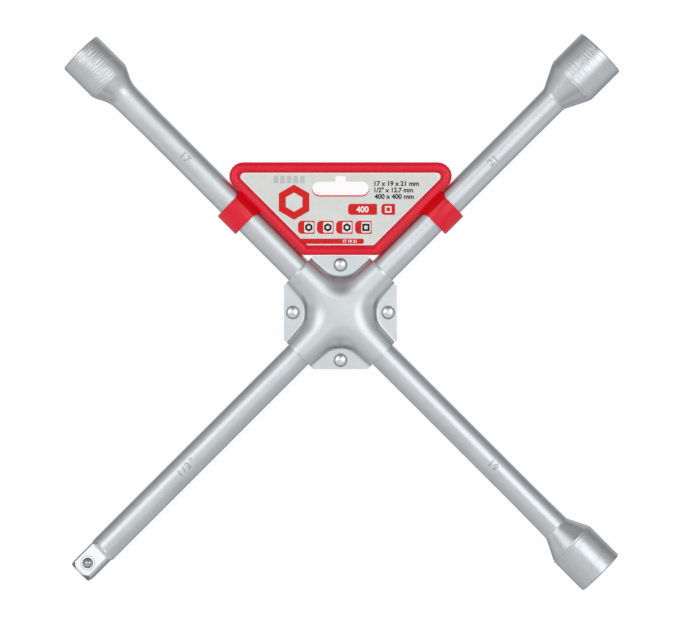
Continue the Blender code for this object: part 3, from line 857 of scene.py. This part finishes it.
@dataclass
class HubShell:
    """Stamped shell over the crossing: four channels that run into a crown, with a flange between each two."""

    node: str
    rear: bool
    sheet: float = 1.3
    clearance: float = 0.3
    flange_gap: float = 0.3
    flange_reach: float = 30.7
    channel_reach: float = 32.2
    flare: float = 5.0  # widening of a channel's foot toward the centre, in degrees
    foot_fillet: float = 12.0
    crest_fillet: float = 16.0
    roll: float = 14.0  # radius of the wall's upper bend where two channels meet
    roll_slope: float = 50.0  # steepest slope there, in degrees
    dome: float = 0.15  # rise of the crown
    dome_reach: float = 10.0
    foot_bend: float = 1.2
    edge: float = 0.25
    run_rows: int = 9  # rows on a channel before its walls start to turn
    meeting_power: float = 1.5  # how late the section goes over into the valley
    # Columns of the flange, as shares from its outer edge to the foot. The first strip is narrow, so that the flange
    # stays flat up to its broken edge.
    strips: tuple[float, ...] = (0.0, 0.03, 0.25, 0.5, 0.75)

    def section(self) -> np.ndarray:
        """Half section of a channel from the flange to the crest.

        An arc of the foot's bend turns up from the flange until it touches the circle that the channel follows.

        Returns:
            Points (distance from the arm's axis, height).
        """
        channel = ROD + self.clearance + self.sheet
        level = self.flange_gap / 2 + self.sheet + self.foot_bend
        middle = math.sqrt((channel + self.foot_bend) ** 2 - level**2)
        lean = math.atan2(level, middle)
        low = np.linspace(-math.pi / 2, lean - math.pi, 9)[:-1]
        high = np.linspace(lean, math.pi / 2, 29)
        return np.concatenate([(middle, level) + self.foot_bend * circle(low), channel * circle(high)])

    def valley(self, height: np.ndarray, span: float) -> np.ndarray:
        """Where the wall stands at each height of the section, midway between two arms.

        It leaves the crest by an arc of the roll's radius up to the steepest slope, goes straight down and runs out
        into the flange by a second arc, whose radius makes the three add up to the span.

        Args:
            height: heights of the section's points, from the flange to the crest.
            span: distance from crest to foot.

        Returns:
            One share of the span for each height.
        """
        slope = math.radians(self.roll_slope)
        drop = height[-1] - height
        whole = drop[0]
        rest = span - self.roll * math.sin(slope) - (whole - self.roll * (1 - math.cos(slope))) / math.tan(slope)
        foot = rest / math.tan(slope / 2)
        over, under = self.roll * (1 - math.cos(slope)), foot * (1 - math.cos(slope))
        rolled = np.sqrt(np.clip(2 * self.roll * drop - drop**2, 0.0, None))
        left = whole - drop
        run_out = span - np.sqrt(np.clip(2 * foot * left - left**2, 0.0, None))
        straight = self.roll * math.sin(slope) + (drop - over) / math.tan(slope)
        return np.where(drop < over, rolled, np.where(left < under, run_out, straight)) / span

    def led_in(self, arc: np.ndarray, width: float) -> np.ndarray:
        """Line in plan: straight from a channel's end to the arc, round it and out along the other arm.

        Args:
            arc: points of the arc.
            width: distance from the arm's axis at the channel's end.

        Returns:
            Points of the line, which is its own mirror image in the diagonal.
        """
        end = np.array([self.channel_reach, width])
        straight = end + np.linspace(0.0, 1.0, self.run_rows + 1)[:-1, None] * (arc[0] - end)
        return np.concatenate([straight, arc, straight[::-1, ::-1]])

    def quarter(self) -> Surface:
        """Sheet between the +X and +Y arms.

        The section is carried along one arm, round the fillets between the channels, and along the other arm: a point
        stands between crest and foot as its share of the section's width says. Crest and foot are arcs in plan, so the
        walls run into each other, and the share goes over into the valley's there. The flange spans from the foot to
        the straight outer edge, and the crown from the crest to the centre, where it rises by
        dome * (1 - (distance / reach)^2)^2.

        Returns:
            The open quarter.
        """
        section = self.section()
        widest = section[0, 0]
        flare = math.radians(self.flare)
        share = np.linspace(0.0, 1.0, 49)
        across = np.array([math.sin(flare), math.cos(flare)])
        middle = (across @ (self.channel_reach, widest) + self.foot_fillet) / across.sum()
        low = -math.pi / 2 - flare - (math.pi / 2 - 2 * flare) * share
        high = -math.pi / 2 * (1.0 + share)
        foot = self.led_in(middle + self.foot_fillet * circle(low), widest)
        crest = self.led_in(self.crest_fillet * (1.0 + circle(high)), 0.0)
        turning = slice(self.run_rows, -self.run_rows)
        meeting = np.zeros(len(foot))
        meeting[turning] = np.clip(np.sin(math.pi * share), 0.0, None) ** self.meeting_power
        halfway = len(foot) // 2
        valley = self.valley(section[:, 1], float(np.linalg.norm(foot[halfway] - crest[halfway])))
        width = section[:, 0] / widest * (1.0 - meeting[:, None]) + valley * meeting[:, None]
        plan = crest[:, None] + (foot - crest)[:, None] * width[..., None]
        wall = raised(plan, section[:, 1])

        corner = self.flange_reach * math.sqrt(2.0) - self.channel_reach
        span = np.linspace(0.0, 1.0, len(foot))[:, None]
        edge = np.array([self.channel_reach, corner]) * (1 - span) + np.array([corner, self.channel_reach]) * span
        flat = edge[:, None] + (foot - edge)[:, None] * np.array(self.strips)[None, :, None]
        sheet = Surface.grid(np.concatenate([raised(flat, section[0, 1]), wall], axis=1), around=False)

        inward = np.linspace(1.0, 0.0, 8)[:, None, None]
        crown = raised(crest[None, turning] * inward, section[-1, 1])
        whole = sheet.joined(Surface.grid(crown, around=False))
        reach = np.hypot(whole.points[:, 0], whole.points[:, 1]) / self.dome_reach
        whole.points[:, 2] += self.dome * np.clip(1.0 - reach**2, 0.0, None) ** 2
        return whole

    def build(self) -> None:
        """Mirror the quarter into the whole shell, give it the sheet's thickness inward and break its edges."""
        quarter = self.quarter()
        others = [Surface(quarter.points * (x, y, 1.0), quarter.faces) for x, y in ((-1, 1), (-1, -1), (1, -1))]
        whole = quarter.joined(*others)
        shell = put_piece(self.node, whole, SATIN_SHEET, Body.WRENCH, (self.node,), crease=40.0)
        if self.rear:
            shell.data.transform(Matrix.Rotation(math.pi, 4, "X"))
        sheet = shell.modifiers.new("sheet", "SOLIDIFY")
        sheet.thickness = self.sheet * MM
        sheet.offset = -1.0
        sheet.use_even_offset = True
        edge = shell.modifiers.new("edge", "BEVEL")
        edge.width = self.edge * MM
        edge.segments = 2
        edge.limit_method = "ANGLE"
        edge.angle_limit = math.radians(60.0)


@dataclass
class HubRivets:
    """Four rivets with a domed head on each side of the flanges."""

    reach: float = 25.9
    shank: float = 2.0
    head: float = 3.65
    head_height: float = 2.0
    band: float = 0.3  # upright edge under the dome
    seat: float = 1.65  # underside of a head
    edge: float = 0.08  # break under the head
    rim_shade: float = 0.8  # width of the head's rim painted darker, as painted shade round the head

    def profile(self) -> np.ndarray:
        """Half of a rivet from the top of its dome to its middle: a quarter ellipse, a short upright edge, the shank.

        Returns:
            Points (radius, height).
        """
        rise = self.head_height - self.band
        angle = np.linspace(0.0, math.pi / 2, 28)
        dome = (0.0, self.seat + self.band) + circle(angle)[:, ::-1] * (self.head, rise)
        under = [(self.head, self.seat + self.edge), (self.head - self.edge, self.seat), (self.shank, self.seat)]
        return np.concatenate([dome, under])

    def build(self) -> None:
        """Turn the four rivets and set them on the wrench."""
        half = self.profile()
        line = np.concatenate([half, half[::-1] * (1.0, -1.0)])
        for key, turn in (("top", 45.0), ("left", 135.0), ("bottom", 225.0), ("right", 315.0)):
            spot = Matrix.Rotation(math.radians(turn), 4, "Z") @ Matrix.Translation((self.reach, 0.0, 0.0))
            node, surface = f"rivet_{key}", Surface.turned(line, ROUND).moved(spot)
            rivet = put_piece(node, surface, RIVET_CHROME, Body.WRENCH, (node,), crease=40.0)
            x, y, _ = (middles(rivet) - spot.translation).T
            # The rim of each head gets the darker finish: painted shade round the head.
            dress(rivet, PUNCHED_AND_RIM_SHADE, np.hypot(x, y) > self.head - self.rim_shade)


# ---- Hang tag ----


@dataclass
class HangTag:
    """Moulded tray with a printed card and two straps; its own Y runs up the tag, between the arms that carry it."""

    bottom: float = 31.2
    top: float = 81.6
    side: float = 7.32  # arm's axis to the tray's side, which leans over the arm's edge
    back: float = 1.3
    floor: float = 2.8
    front: float = 5.0
    rim: tuple[float, float, float] = (5.4, 5.4, 5.0)  # width at the top, the sides and the bottom
    top_corner: float = 7.66
    bottom_corner: float = 2.0
    inner_corner: float = 2.2
    back_edge: float = 0.6
    bead_foot: float = 2.7  # where the outer wall turns over into the rim
    bead_power: float = 2.1
    slot_middle: float = 67.6
    slot_length: float = 30.7
    slot_width: float = 7.8
    bump_width: float = 6.0
    bump_height: float = 3.1
    bump_corner: float = 2.7
    card_gap: float = 0.3
    card_sheet: float = 0.5
    card_edge: float = 0.06
    card_margin: float = 0.15
    card_drop: float = 0.6  # the card lies a little low on the slot
    strap_reach: float = 77.3
    strap_width: float = 13.8
    strap_wall: float = 2.5
    strap_web: float = 0.9  # wall where the strap bends into the tray
    web_turn: float = 68.0  # where the wall steps down, in degrees above the side
    web_step: float = 5.0  # degrees over which it does
    web_slack: float = 0.05  # over the web, for telling its faces
    strap_gap: float = 0.3
    strap_leg: float = 4.0
    strap_edge: float = 0.6
    strap_flare: float = 1.4  # widening of half a strap at its root
    flare_turn: float = 45.0  # degrees over which it widens
    strap_rows: int = 71  # rows of the bend round the rod
    crease: float = 32.0

    def outline(self, share: float, gap: float = 0.0) -> np.ndarray:
        """Tray outline about the slot's middle, moved in by a share of the rim's widths and then by a gap.

        Args:
            share: 0 for the outer edge, 1 for the rim's inner edge.
            gap: further inset.

        Returns:
            Points of the rounded trapezium.
        """
        top_in, side_in, bottom_in = (share * width + gap for width in self.rim)
        low, high = self.bottom + bottom_in, self.top - top_in
        lean = (self.side + side_in) * math.sqrt(2.0)
        corners = [(low - lean, low), (high - lean, high), (lean - high, high), (lean - low, low)]
        top = self.top_corner + (self.inner_corner - self.top_corner) * share
        bottom = self.bottom_corner + (self.inner_corner - self.bottom_corner) * share
        return filleted(corners, [bottom, top, top, bottom]) - (0.0, self.slot_middle)

    def slot(self, grow: float = 0.0) -> np.ndarray:
        """Hanging slot about its middle: round ends and a bump over the middle.

        Args:
            grow: margin that it is grown by.

        Returns:
            Points of its outline.
        """
        half, end = self.slot_length / 2 + grow, self.slot_width / 2 + grow
        bump, top = self.bump_width / 2 + grow, self.slot_width / 2 + grow + self.bump_height
        corners = [(-half, -end), (half, -end), (half, end), (bump, end), (bump, top)]
        corners += [(-bump, top), (-bump, end), (-half, end)]
        return filleted(corners, [end, end, end, 0.0, self.bump_corner, self.bump_corner, 0.0, end])

    def turns(self, *lines: np.ndarray) -> np.ndarray:
        """Turns of the columns: an even spread and every point of the given lines."""
        even = np.linspace(-math.pi, math.pi, 360, endpoint=False)
        return np.unique(np.concatenate([even] + [np.arctan2(line[:, 1], line[:, 0]) for line in lines]).round(6))

    def ring(self, reach: np.ndarray, turn: np.ndarray, height: float) -> np.ndarray:
        """Ring of points at each ray's reach from the slot's middle, at one height."""
        return raised((0.0, self.slot_middle) + reach[:, None] * circle(turn), height)

    def tray(self) -> Surface:
        """Closed tray: rings from the slot over the floor, up and over the rim, down the outside and under the back.

        Each ring is an outline as a distance along rays from the slot's middle. The rim's section is the upper half of
        a superellipse, (1 - |place|^power)^(1/power); the place across the rim sets how far the outline is moved in.

        Returns:
            The tray.
        """
        slot = self.slot()
        turn = self.turns(slot, self.outline(0.0), self.outline(0.5), self.outline(1.0))
        hole, inside = ray_reach(slot, turn), ray_reach(self.outline(1.0), turn)
        wide = self.rim[1]
        place = np.cos(np.linspace(0.0, math.pi, 25))
        over = (1.0 - np.abs(place) ** self.bead_power) ** (1.0 / self.bead_power)
        bead = np.stack([(1.0 + place) * wide / 2, self.bead_foot + (self.front - self.bead_foot) * over], axis=-1)
        bead[:, 1] = np.where(place > 0.0, np.maximum(bead[:, 1], self.floor), bead[:, 1])
        under = [(0.0, self.back + self.back_edge), (self.back_edge, self.back), (wide / 2, self.back)]
        section = np.concatenate([bead, under])
        rings = [self.ring(hole, turn, self.back), self.ring(hole, turn, self.floor)]
        rings += [self.ring(hole + (inside - hole) * share, turn, self.floor) for share in (0.35, 0.7)]
        rings += [self.ring(ray_reach(self.outline(across / wide), turn), turn, height) for across, height in section]
        return Surface.grid(np.stack(rings), along=True)

    def strap(self, toward: int) -> Surface:
        """One strap: a rounded rectangle carried up the free leg and round the rod into the tray's side.

        The path's point stands on the middle of the wall, and one half wall out along the path's normal is the outer
        face. The wall steps down to a thin web beside the tray, and the width grows there by a smooth step.

        Args:
            toward: 1 on the right arm, -1 on the left arm.

        Returns:
            The closed strap in the tag's frame.
        """
        inner = ROD + self.strap_gap
        stop = math.asin((self.back + self.back_edge) / (inner + self.strap_web / 2))
        bend = np.linspace(math.pi, stop, self.strap_rows + 1)[1:]
        leg = np.concatenate([[0.0, 0.3], np.linspace(0.8, self.strap_leg, 6)]) - self.strap_leg
        angle = np.concatenate([np.full_like(leg, math.pi), bend])
        # The free end is drawn in over its first two rings.
        ease = np.zeros_like(angle)
        ease[:2] = 0.55, 0.16
        past = math.radians(self.web_turn) - angle
        thin = smooth_step(past / math.radians(self.web_step))
        full = (self.strap_wall + (self.strap_web - self.strap_wall) * thin) / 2
        flare = self.strap_flare * smooth_step(past / math.radians(self.flare_turn))
        half = self.strap_width / 2 + flare - ease
        out = circle(angle)
        path = out * (inner + full)[:, None]
        path[: len(leg), 1] += leg
        # The section is 1 from its middle to a face, and long enough that its corners stay apart: only their insets
        # are used.
        edge = self.strap_edge / (self.strap_wall / 2)
        long = 9.0
        section = filleted([(-1.0, -long), (1.0, -long), (1.0, long), (-1.0, long)], [edge] * 4, 6)
        end = np.sign(section[:, 1])
        inset = (long - np.abs(section[:, 1])) * end
        thick = (full - ease)[:, None] * section[:, 0]
        along = end * half[:, None] - inset * full[:, None]
        side = path[:, :1] + out[:, :1] * thick
        height = path[:, 1:] + out[:, 1:] * thick
        points = np.stack([along * toward, side * toward, height], axis=-1)
        surface = Surface.grid(points).capped(len(section))
        lie = Matrix.Rotation(math.pi / 4 if toward == 1 else math.pi * 3 / 4, 4, "Z")
        return surface.moved(lie @ Matrix.Translation((self.strap_reach, 0.0, 0.0)))

    def build_holder(self) -> None:
        """Mould the tray and its straps into one piece."""
        tray = self.tray().moved(DIAGONAL)
        holder = put_piece("tag_holder", tray, MOULDED_RED, Body.TAG, ("tag_holder",), self.crease)
        for toward in (1, -1):
            combine(holder, self.strap(toward).moved(DIAGONAL), "UNION", self.crease)
        x, y, z = middles(holder).T
        across = np.minimum(np.abs(x), np.abs(y))  # from the nearer arm's axis
        web = ROD + self.strap_gap + self.strap_web + self.web_slack
        # The web's faces get the deeper red, which is painted shade for the valley between strap and tray.
        dress(holder, SHADED_WEB_RED, (across < self.side) & (np.minimum(x, y) > 0.0) & (np.hypot(across, z) < web))

    def card_face(self) -> float:
        """Height of the card's printed face."""
        return self.floor + self.card_gap / 2 + self.card_sheet

    def build_card(self) -> None:
        """Lay the card in the tray: rings round the slot and round the outline, on both faces."""
        slot, outline = self.slot(self.card_margin) - (0.0, self.card_drop), self.outline(1.0, self.card_gap)
        turn = self.turns(slot, outline)
        hole, outer = ray_reach(slot, turn), ray_reach(outline, turn)
        high, edge = self.card_face(), self.card_edge
        low = high - self.card_sheet
        rings = [(hole, low), (hole, high - edge), (hole + edge, high), ((hole + outer) / 2, high)]
        rings += [(outer - edge, high), (outer, high - edge), (outer, low), ((hole + outer) / 2, low)]
        card = Surface.grid(np.stack([self.ring(reach, turn, height) for reach, height in rings]), along=True)
        put_piece("tag_card", card.moved(DIAGONAL), CARD_BOARD, Body.TAG, ("tag_card",))


@dataclass
class CardPrint:
    """Plain print on the card, in the tag's frame: size marks, a nut, tabs and bars of colour."""

    tag: HangTag
    film: float = 0.03  # height of one ink over the card, or over the ink under it
    depth: float = 0.06  # from a film's face down to its foot, which is sunk in what it lies on
    bold: float = 0.034  # growth of each stroke's edge, as a share of the font's size

    def levels(self, over: float) -> tuple[float, float]:
        """Foot and face of a film that lies over so many others."""
        high = self.tag.card_face() + self.film * (1 + over)
        return high - self.depth, high

    def bar(
        self, low: tuple[float, float], high: tuple[float, float], left: float, right: float, over: float = 0
    ) -> Surface:
        """Rectangle between two corners, rounded by one radius on the left and by another on the right."""
        corners = [low, (high[0], low[1]), high, (low[0], high[1])]
        return Surface.plate(filleted(corners, [left, right, right, left], 5), *self.levels(over))

    def band(self, outer: np.ndarray, inner: np.ndarray, over: float) -> Surface:
        """Film between two closed lines of as many points: both lines on foot and face, joined both ways.

        Args:
            outer: points of the outer line.
            inner: points of the inner line.
            over: how many films it lies over.

        Returns:
            The film.
        """
        low, high = self.levels(over)
        around = ((outer, low), (outer, high), (inner, high), (inner, low))
        return Surface.grid(np.stack([raised(line, level) for line, level in around]), along=True)

    def nut(self, middle: tuple[float, float], flats: float, width: float, sides: int, over: float = 0) -> Surface:
        """Ring with straight sides, each width wide.

        Args:
            middle: its centre.
            flats: size over two opposite sides.
            width: width of a side.
            sides: how many there are.
            over: how many films it lies over.

        Returns:
            The film.
        """
        turn = (np.arange(sides) + 0.5) * math.tau / sides
        ray = circle(turn) / math.cos(math.pi / sides)
        return self.band(middle + ray * flats / 2, middle + ray * (flats / 2 - width), over)

    def margin(self, width: float) -> Surface:
        """Border along the card's edge, half a film low so that the other inks run over it.

        Args:
            width: its width.

        Returns:
            The film.
        """
        inset = self.tag.card_gap + self.tag.card_edge
        outer, inner = (self.tag.outline(1.0, gap) + (0.0, self.tag.slot_middle) for gap in (inset, inset + width))
        return self.band(outer, inner, -0.5)

    def words(
        self, text: str, middle: tuple[float, float], height: float, over: float = 0, left: bool = False
    ) -> Surface:
        """Figures centred on a point, or starting from it.

        Args:
            text: the figures.
            middle: the point.
            height: height of the line.
            over: how many films they lie over.
            left: start from the point.

        Returns:
            The films.
        """
        flat = lettering(text, height, bold=self.bold)
        if left:
            flat.points[:, 0] -= flat.points[:, 0].min()
        low, high = self.levels(over)
        level = np.where(flat.points[:, 2] > 0.0, high, low)
        return Surface(raised(flat.points[:, :2] + middle, level), flat.faces)

    def put(self, name: str, parts: list[Surface], ink: Finish) -> None:
        """Print one ink's films as one piece on the tag."""
        put_piece(name, parts[0].joined(*parts[1:]).moved(DIAGONAL), ink, Body.TAG)

    def build(self) -> None:
        """Lay down the inks, the palest first; places are from the hub's centre, along the tag's own X and Y."""
        blocks = (-36.4, -32.8, -29.2, -25.6, -22.0)  # left edges
        pale = [self.bar((x, 70.1), (x + 2.6, 74.1), 0.3, 0.3) for x in blocks]
        self.put("card_print_pale", pale, INK_PALE)
        tabs = ((-23.1, 6), (-12.8, 6), (-2.4, 6), (7.9, 4))  # left edge of each tab, and the sides of its nut
        red = [self.bar((4.1, 53.0), (19.8, 59.0), 1.8, 0.4), self.bar((22.2, 53.0), (29.6, 59.0), 1.8, 0.4)]
        red += [self.bar((x, 42.7), (x + 9.0, 49.8), 2.2, 0.4) for x, _ in tabs]
        red += [self.bar((-22.0, 37.2), (12.7, 40.1), 1.2, 1.2), self.nut((-25.2, 59.9), 16.6, 3.8, 6)]
        self.put("card_print_red", red, INK_RED)
        white = [self.margin(0.8), self.words("400", (11.9, 56.0), 3.4, 1), self.nut((25.9, 56.0), 3.6, 0.8, 4, 1)]
        white += [self.bar((x + 3.4, 43.4), (x + 8.5, 49.1), 0.8, 0.8, 1) for x, _ in tabs]
        white += [self.words("17 19 21", (5.0, 38.65), 1.8, 1)]
        self.put("card_print_white", white, INK_WHITE)
        dark = [self.nut((x + 5.9, 46.2), 4.0, 1.1, sides, 2) for x, sides in tabs]
        lines = (("17 x 19 x 21 mm", 70.0), ('1/2" x 12.7 mm', 66.5), ("400 x 400 mm", 63.0))
        dark += [self.words(text, (18.4, y), 2.8, left=True) for text, y in lines]
        self.put("card_print_dark", dark, INK_DARK)


# ---- Studio ----


@dataclass(frozen=True)
class SoftBox:
    """Area lamp; its place is metres from the hub's centre, to the right, up and out of the picture."""

    name: str
    right: float
    up: float
    high: float
    turn: float  # in the picture, in degrees
    lean: float  # 0 faces down and -90 faces right, before the turn
    wide: float
    deep: float
    glow: float  # radiance

    def hang(self) -> None:
        """Make the lamp: its power is radiance * pi * area, so that its size doesn't change how bright it looks."""
        lamp = bpy.data.lights.new(self.name, "AREA")
        lamp.shape = "RECTANGLE"
        lamp.size = self.wide
        lamp.size_y = self.deep
        lamp.energy = self.glow * math.pi * self.wide * self.deep
        holder = bpy.data.objects.new(self.name, lamp)
        holder.matrix_world = (
            DIAGONAL
            @ Matrix.Translation((self.right, self.up, self.high))
            @ Matrix.Rotation(math.radians(self.turn), 4, "Z")
            @ Matrix.Rotation(math.radians(self.lean), 4, "Y")
        )
        holder.visible_camera = False
        bpy.context.scene.collection.objects.link(holder)


# Two large boxes overhead make the long highlights, and four small panels that stand low lift the walls and heads that
# face away from the tag.
SOFT_BOXES = (
    SoftBox("box_left", -1.35, 0.47, 1.6, 15.6, 0.0, 1.96, 1.27, 1.14),
    SoftBox("box_right", 0.91, 0.42, 1.6, -40.8, 0.0, 1.17, 1.54, 1.23),
    SoftBox("side_left", -0.62, -0.42, 0.13, 0.0, -90.0, 0.5, 0.3, 0.3),
    SoftBox("side_right", 0.62, -0.42, 0.13, 180.0, -90.0, 0.5, 0.3, 0.3),
    SoftBox("foot_left", -0.32, -0.95, 0.05, 90.0, -90.0, 0.5, 0.38, 0.38),
    SoftBox("foot_right", 0.32, -0.95, 0.05, 90.0, -90.0, 0.5, 0.38, 0.38),
)


@dataclass(frozen=True)
class RoomShade:
    """Tone of the room by direction: a ramp over the cosine to an axis, from 0 straight away to 1 straight along."""

    axis: tuple[float, float, float]
    blend: str  # how the ramp goes from stop to stop
    stops: tuple[tuple[float, float], ...]  # place on the ramp, and tone there
    cast: tuple[float, float, float] = (1.0, 1.01, 1.02)  # faint blue

    def add(self, tree: bpy.types.NodeTree, way: bpy.types.NodeSocket) -> bpy.types.NodeSocket:
        """Add the nodes.

        Args:
            tree: the world's nodes.
            way: the direction.

        Returns:
            The tone.
        """
        toward = add_node(tree, "ShaderNodeVectorMath", {"operation": "DOT_PRODUCT"}, Vector=way)
        toward.inputs[1].default_value = self.axis
        share = add_node(tree, "ShaderNodeMapRange", Value=toward.outputs["Value"], From_Min=-1.0, From_Max=1.0)
        ramp = add_node(tree, "ShaderNodeValToRGB", Fac=share.outputs["Result"])
        ramp.color_ramp.interpolation = self.blend
        for k, (place, tone) in enumerate(self.stops):
            stop = ramp.color_ramp.elements[k] if k < 2 else ramp.color_ramp.elements.new(place)
            stop.position = place
            stop.color = (*(tone * part for part in self.cast), 1.0)
        return ramp.outputs["Color"]


# The room is brightest overhead on the side of the drive, and darkest low on the opposite side.
ROOM = RoomShade(
    (-0.465, -0.343, 0.816),
    "LINEAR",
    (
        (0.0, 0.7),
        (0.06, 0.52),
        (0.14, 0.26),
        (0.25, 0.36),
        (0.45, 0.6),
        (0.55, 0.65),
        (0.675, 0.58),
        (0.84, 0.65),
        (1.0, 0.83),
    ),
)
# It is dimmer past the picture's lower edge, a little dimmer past its upper edge, and dim in a cone that the hub's
# crown reflects.
ENDS_DIM = RoomShade((SQRT_HALF, SQRT_HALF, 0.0), "EASE", ((0.04, 0.6), (0.16, 1.0), (0.84, 1.0), (0.96, 0.95)))
CROWN_DIM = RoomShade((0.7 * SQRT_HALF, 0.7 * SQRT_HALF, math.sqrt(0.51)), "EASE", ((0.94, 1.0), (0.985, 0.42)))


@dataclass
class Studio:
    """Camera straight above the wrench, a pale floor, soft boxes and a room of uneven tone."""

    distance: float = 3.0  # metres
    pixels_per_metre: float = 1840.0
    width: int = 680
    height: int = 630
    hub_pixel: tuple[float, float] = (340.5, 312.5)
    floor_depth: float = -0.0148
    floor_reach: float = 3.0
    floor_tone: str = "#505050"
    floor_glow: float = 0.93
    backdrop: str = "#f4f4f4"

    def place_camera(self) -> None:
        """Look straight down with the tag's side up; the lens gives the photo's scale at the arms' mid-plane."""
        camera = bpy.data.cameras.new("camera")
        camera.sensor_fit = "HORIZONTAL"
        camera.sensor_width = 36.0
        camera.lens = camera.sensor_width * self.distance * self.pixels_per_metre / self.width
        camera.shift_x = (self.width / 2 - self.hub_pixel[0]) / self.width
        camera.shift_y = (self.hub_pixel[1] - self.height / 2) / self.width
        holder = bpy.data.objects.new("camera", camera)
        holder.matrix_world = Matrix.Translation((0.0, 0.0, self.distance)) @ DIAGONAL
        bpy.context.scene.collection.objects.link(holder)
        bpy.context.scene.camera = holder

    def lay_floor(self) -> None:
        """Pale floor that lights itself a little, so that shadows on it stay faint."""
        mesh = bpy.data.meshes.new("floor")
        side = np.array([-self.floor_reach, self.floor_reach])
        grid = np.stack(np.meshgrid(side, side) + [np.full((2, 2), self.floor_depth)], axis=-1)
        surface = Surface.grid(grid, around=False)
        mesh.from_pydata(surface.points.tolist(), [], surface.faces)
        floor = bpy.data.objects.new("floor", mesh)
        bpy.context.scene.collection.objects.link(floor)
        made = bpy.data.materials.new("studio_floor")
        made.use_nodes = True
        shader = made.node_tree.nodes["Principled BSDF"]
        shader.inputs["Base Color"].default_value = linear(self.floor_tone)
        shader.inputs["Roughness"].default_value = 0.9
        shader.inputs["Emission Color"].default_value = (1.0, 1.0, 1.0, 1.0)
        shader.inputs["Emission Strength"].default_value = self.floor_glow
        mesh.materials.append(made)
        floor.visible_glossy = False
        floor.visible_diffuse = False

    def light(self) -> None:
        """Hang the soft boxes and light the room, which only reflections see: the camera sees a plain backdrop."""
        # Plain colour, so that the white ground comes out white.
        bpy.context.scene.view_settings.view_transform = "Standard"
        for box in SOFT_BOXES:
            box.hang()
        world = bpy.data.worlds.new("studio_room")
        bpy.context.scene.world = world
        world.use_nodes = True
        tree = world.node_tree
        tree.nodes.clear()
        way = add_node(tree, "ShaderNodeTexCoord").outputs["Generated"]
        dim = add_node(tree, "ShaderNodeMath", {"operation": "MULTIPLY"})
        tree.links.new(ENDS_DIM.add(tree, way), dim.inputs[0])
        tree.links.new(CROWN_DIM.add(tree, way), dim.inputs[1])
        room = add_node(tree, "ShaderNodeBackground", Color=ROOM.add(tree, way), Strength=dim.outputs["Value"])
        plain = add_node(tree, "ShaderNodeBackground", Color=linear(self.backdrop), Strength=1.0)
        seen = add_node(tree, "ShaderNodeLightPath").outputs["Is Camera Ray"]
        mixed = add_node(tree, "ShaderNodeMixShader", Fac=seen)
        tree.links.new(room.outputs["Background"], mixed.inputs[1])
        tree.links.new(plain.outputs["Background"], mixed.inputs[2])
        add_node(tree, "ShaderNodeOutputWorld", Surface=mixed.outputs["Shader"])


def main() -> None:
    """Build the studio and every piece in order."""
    logging.basicConfig(level=logging.INFO, format="%(name)s %(message)s")
    studio = Studio()
    studio.place_camera()
    studio.lay_floor()
    studio.light()

    small = SocketEnd(flats=17.0, head=12.6, neck=7.95, neck_blend=16.0, flat_turn=30.0)
    medium = SocketEnd(flats=19.0, head=13.7, neck=7.8, neck_blend=5.0, flat_turn=30.0)
    large = SocketEnd(flats=21.0, head=14.6, neck=7.7, neck_blend=5.0, flat_turn=0.0)
    ForgedBar("socket_bar", medium, small, Axis.Y, Notch.FRONT).build()
    drive = DriveEnd()
    drive_bar = ForgedBar("drive_bar", drive, large, Axis.X, Notch.REAR).build()
    detent = BallDetent(drive)
    detent.cut(drive_bar)
    detent.build_ball()
    detent.build_spring()
    SizeFigures("size_figures_17", "17", Axis.Y, 118.6).build()
    SizeFigures("size_figures_19", "19", Axis.Y, -117.5).build()
    SizeFigures("size_figures_21", "21", Axis.X, 116.2).build()
    SizeFigures("size_figures_drive", '1/2"', Axis.X, -118.3, spacing=1.35).build()

    HubShell("hub_shell_front", rear=False).build()
    HubShell("hub_shell_rear", rear=True).build()
    HubRivets().build()

    tag = HangTag()
    tag.build_holder()
    tag.build_card()
    CardPrint(tag).build()


if __name__ == "__main__":
    main()
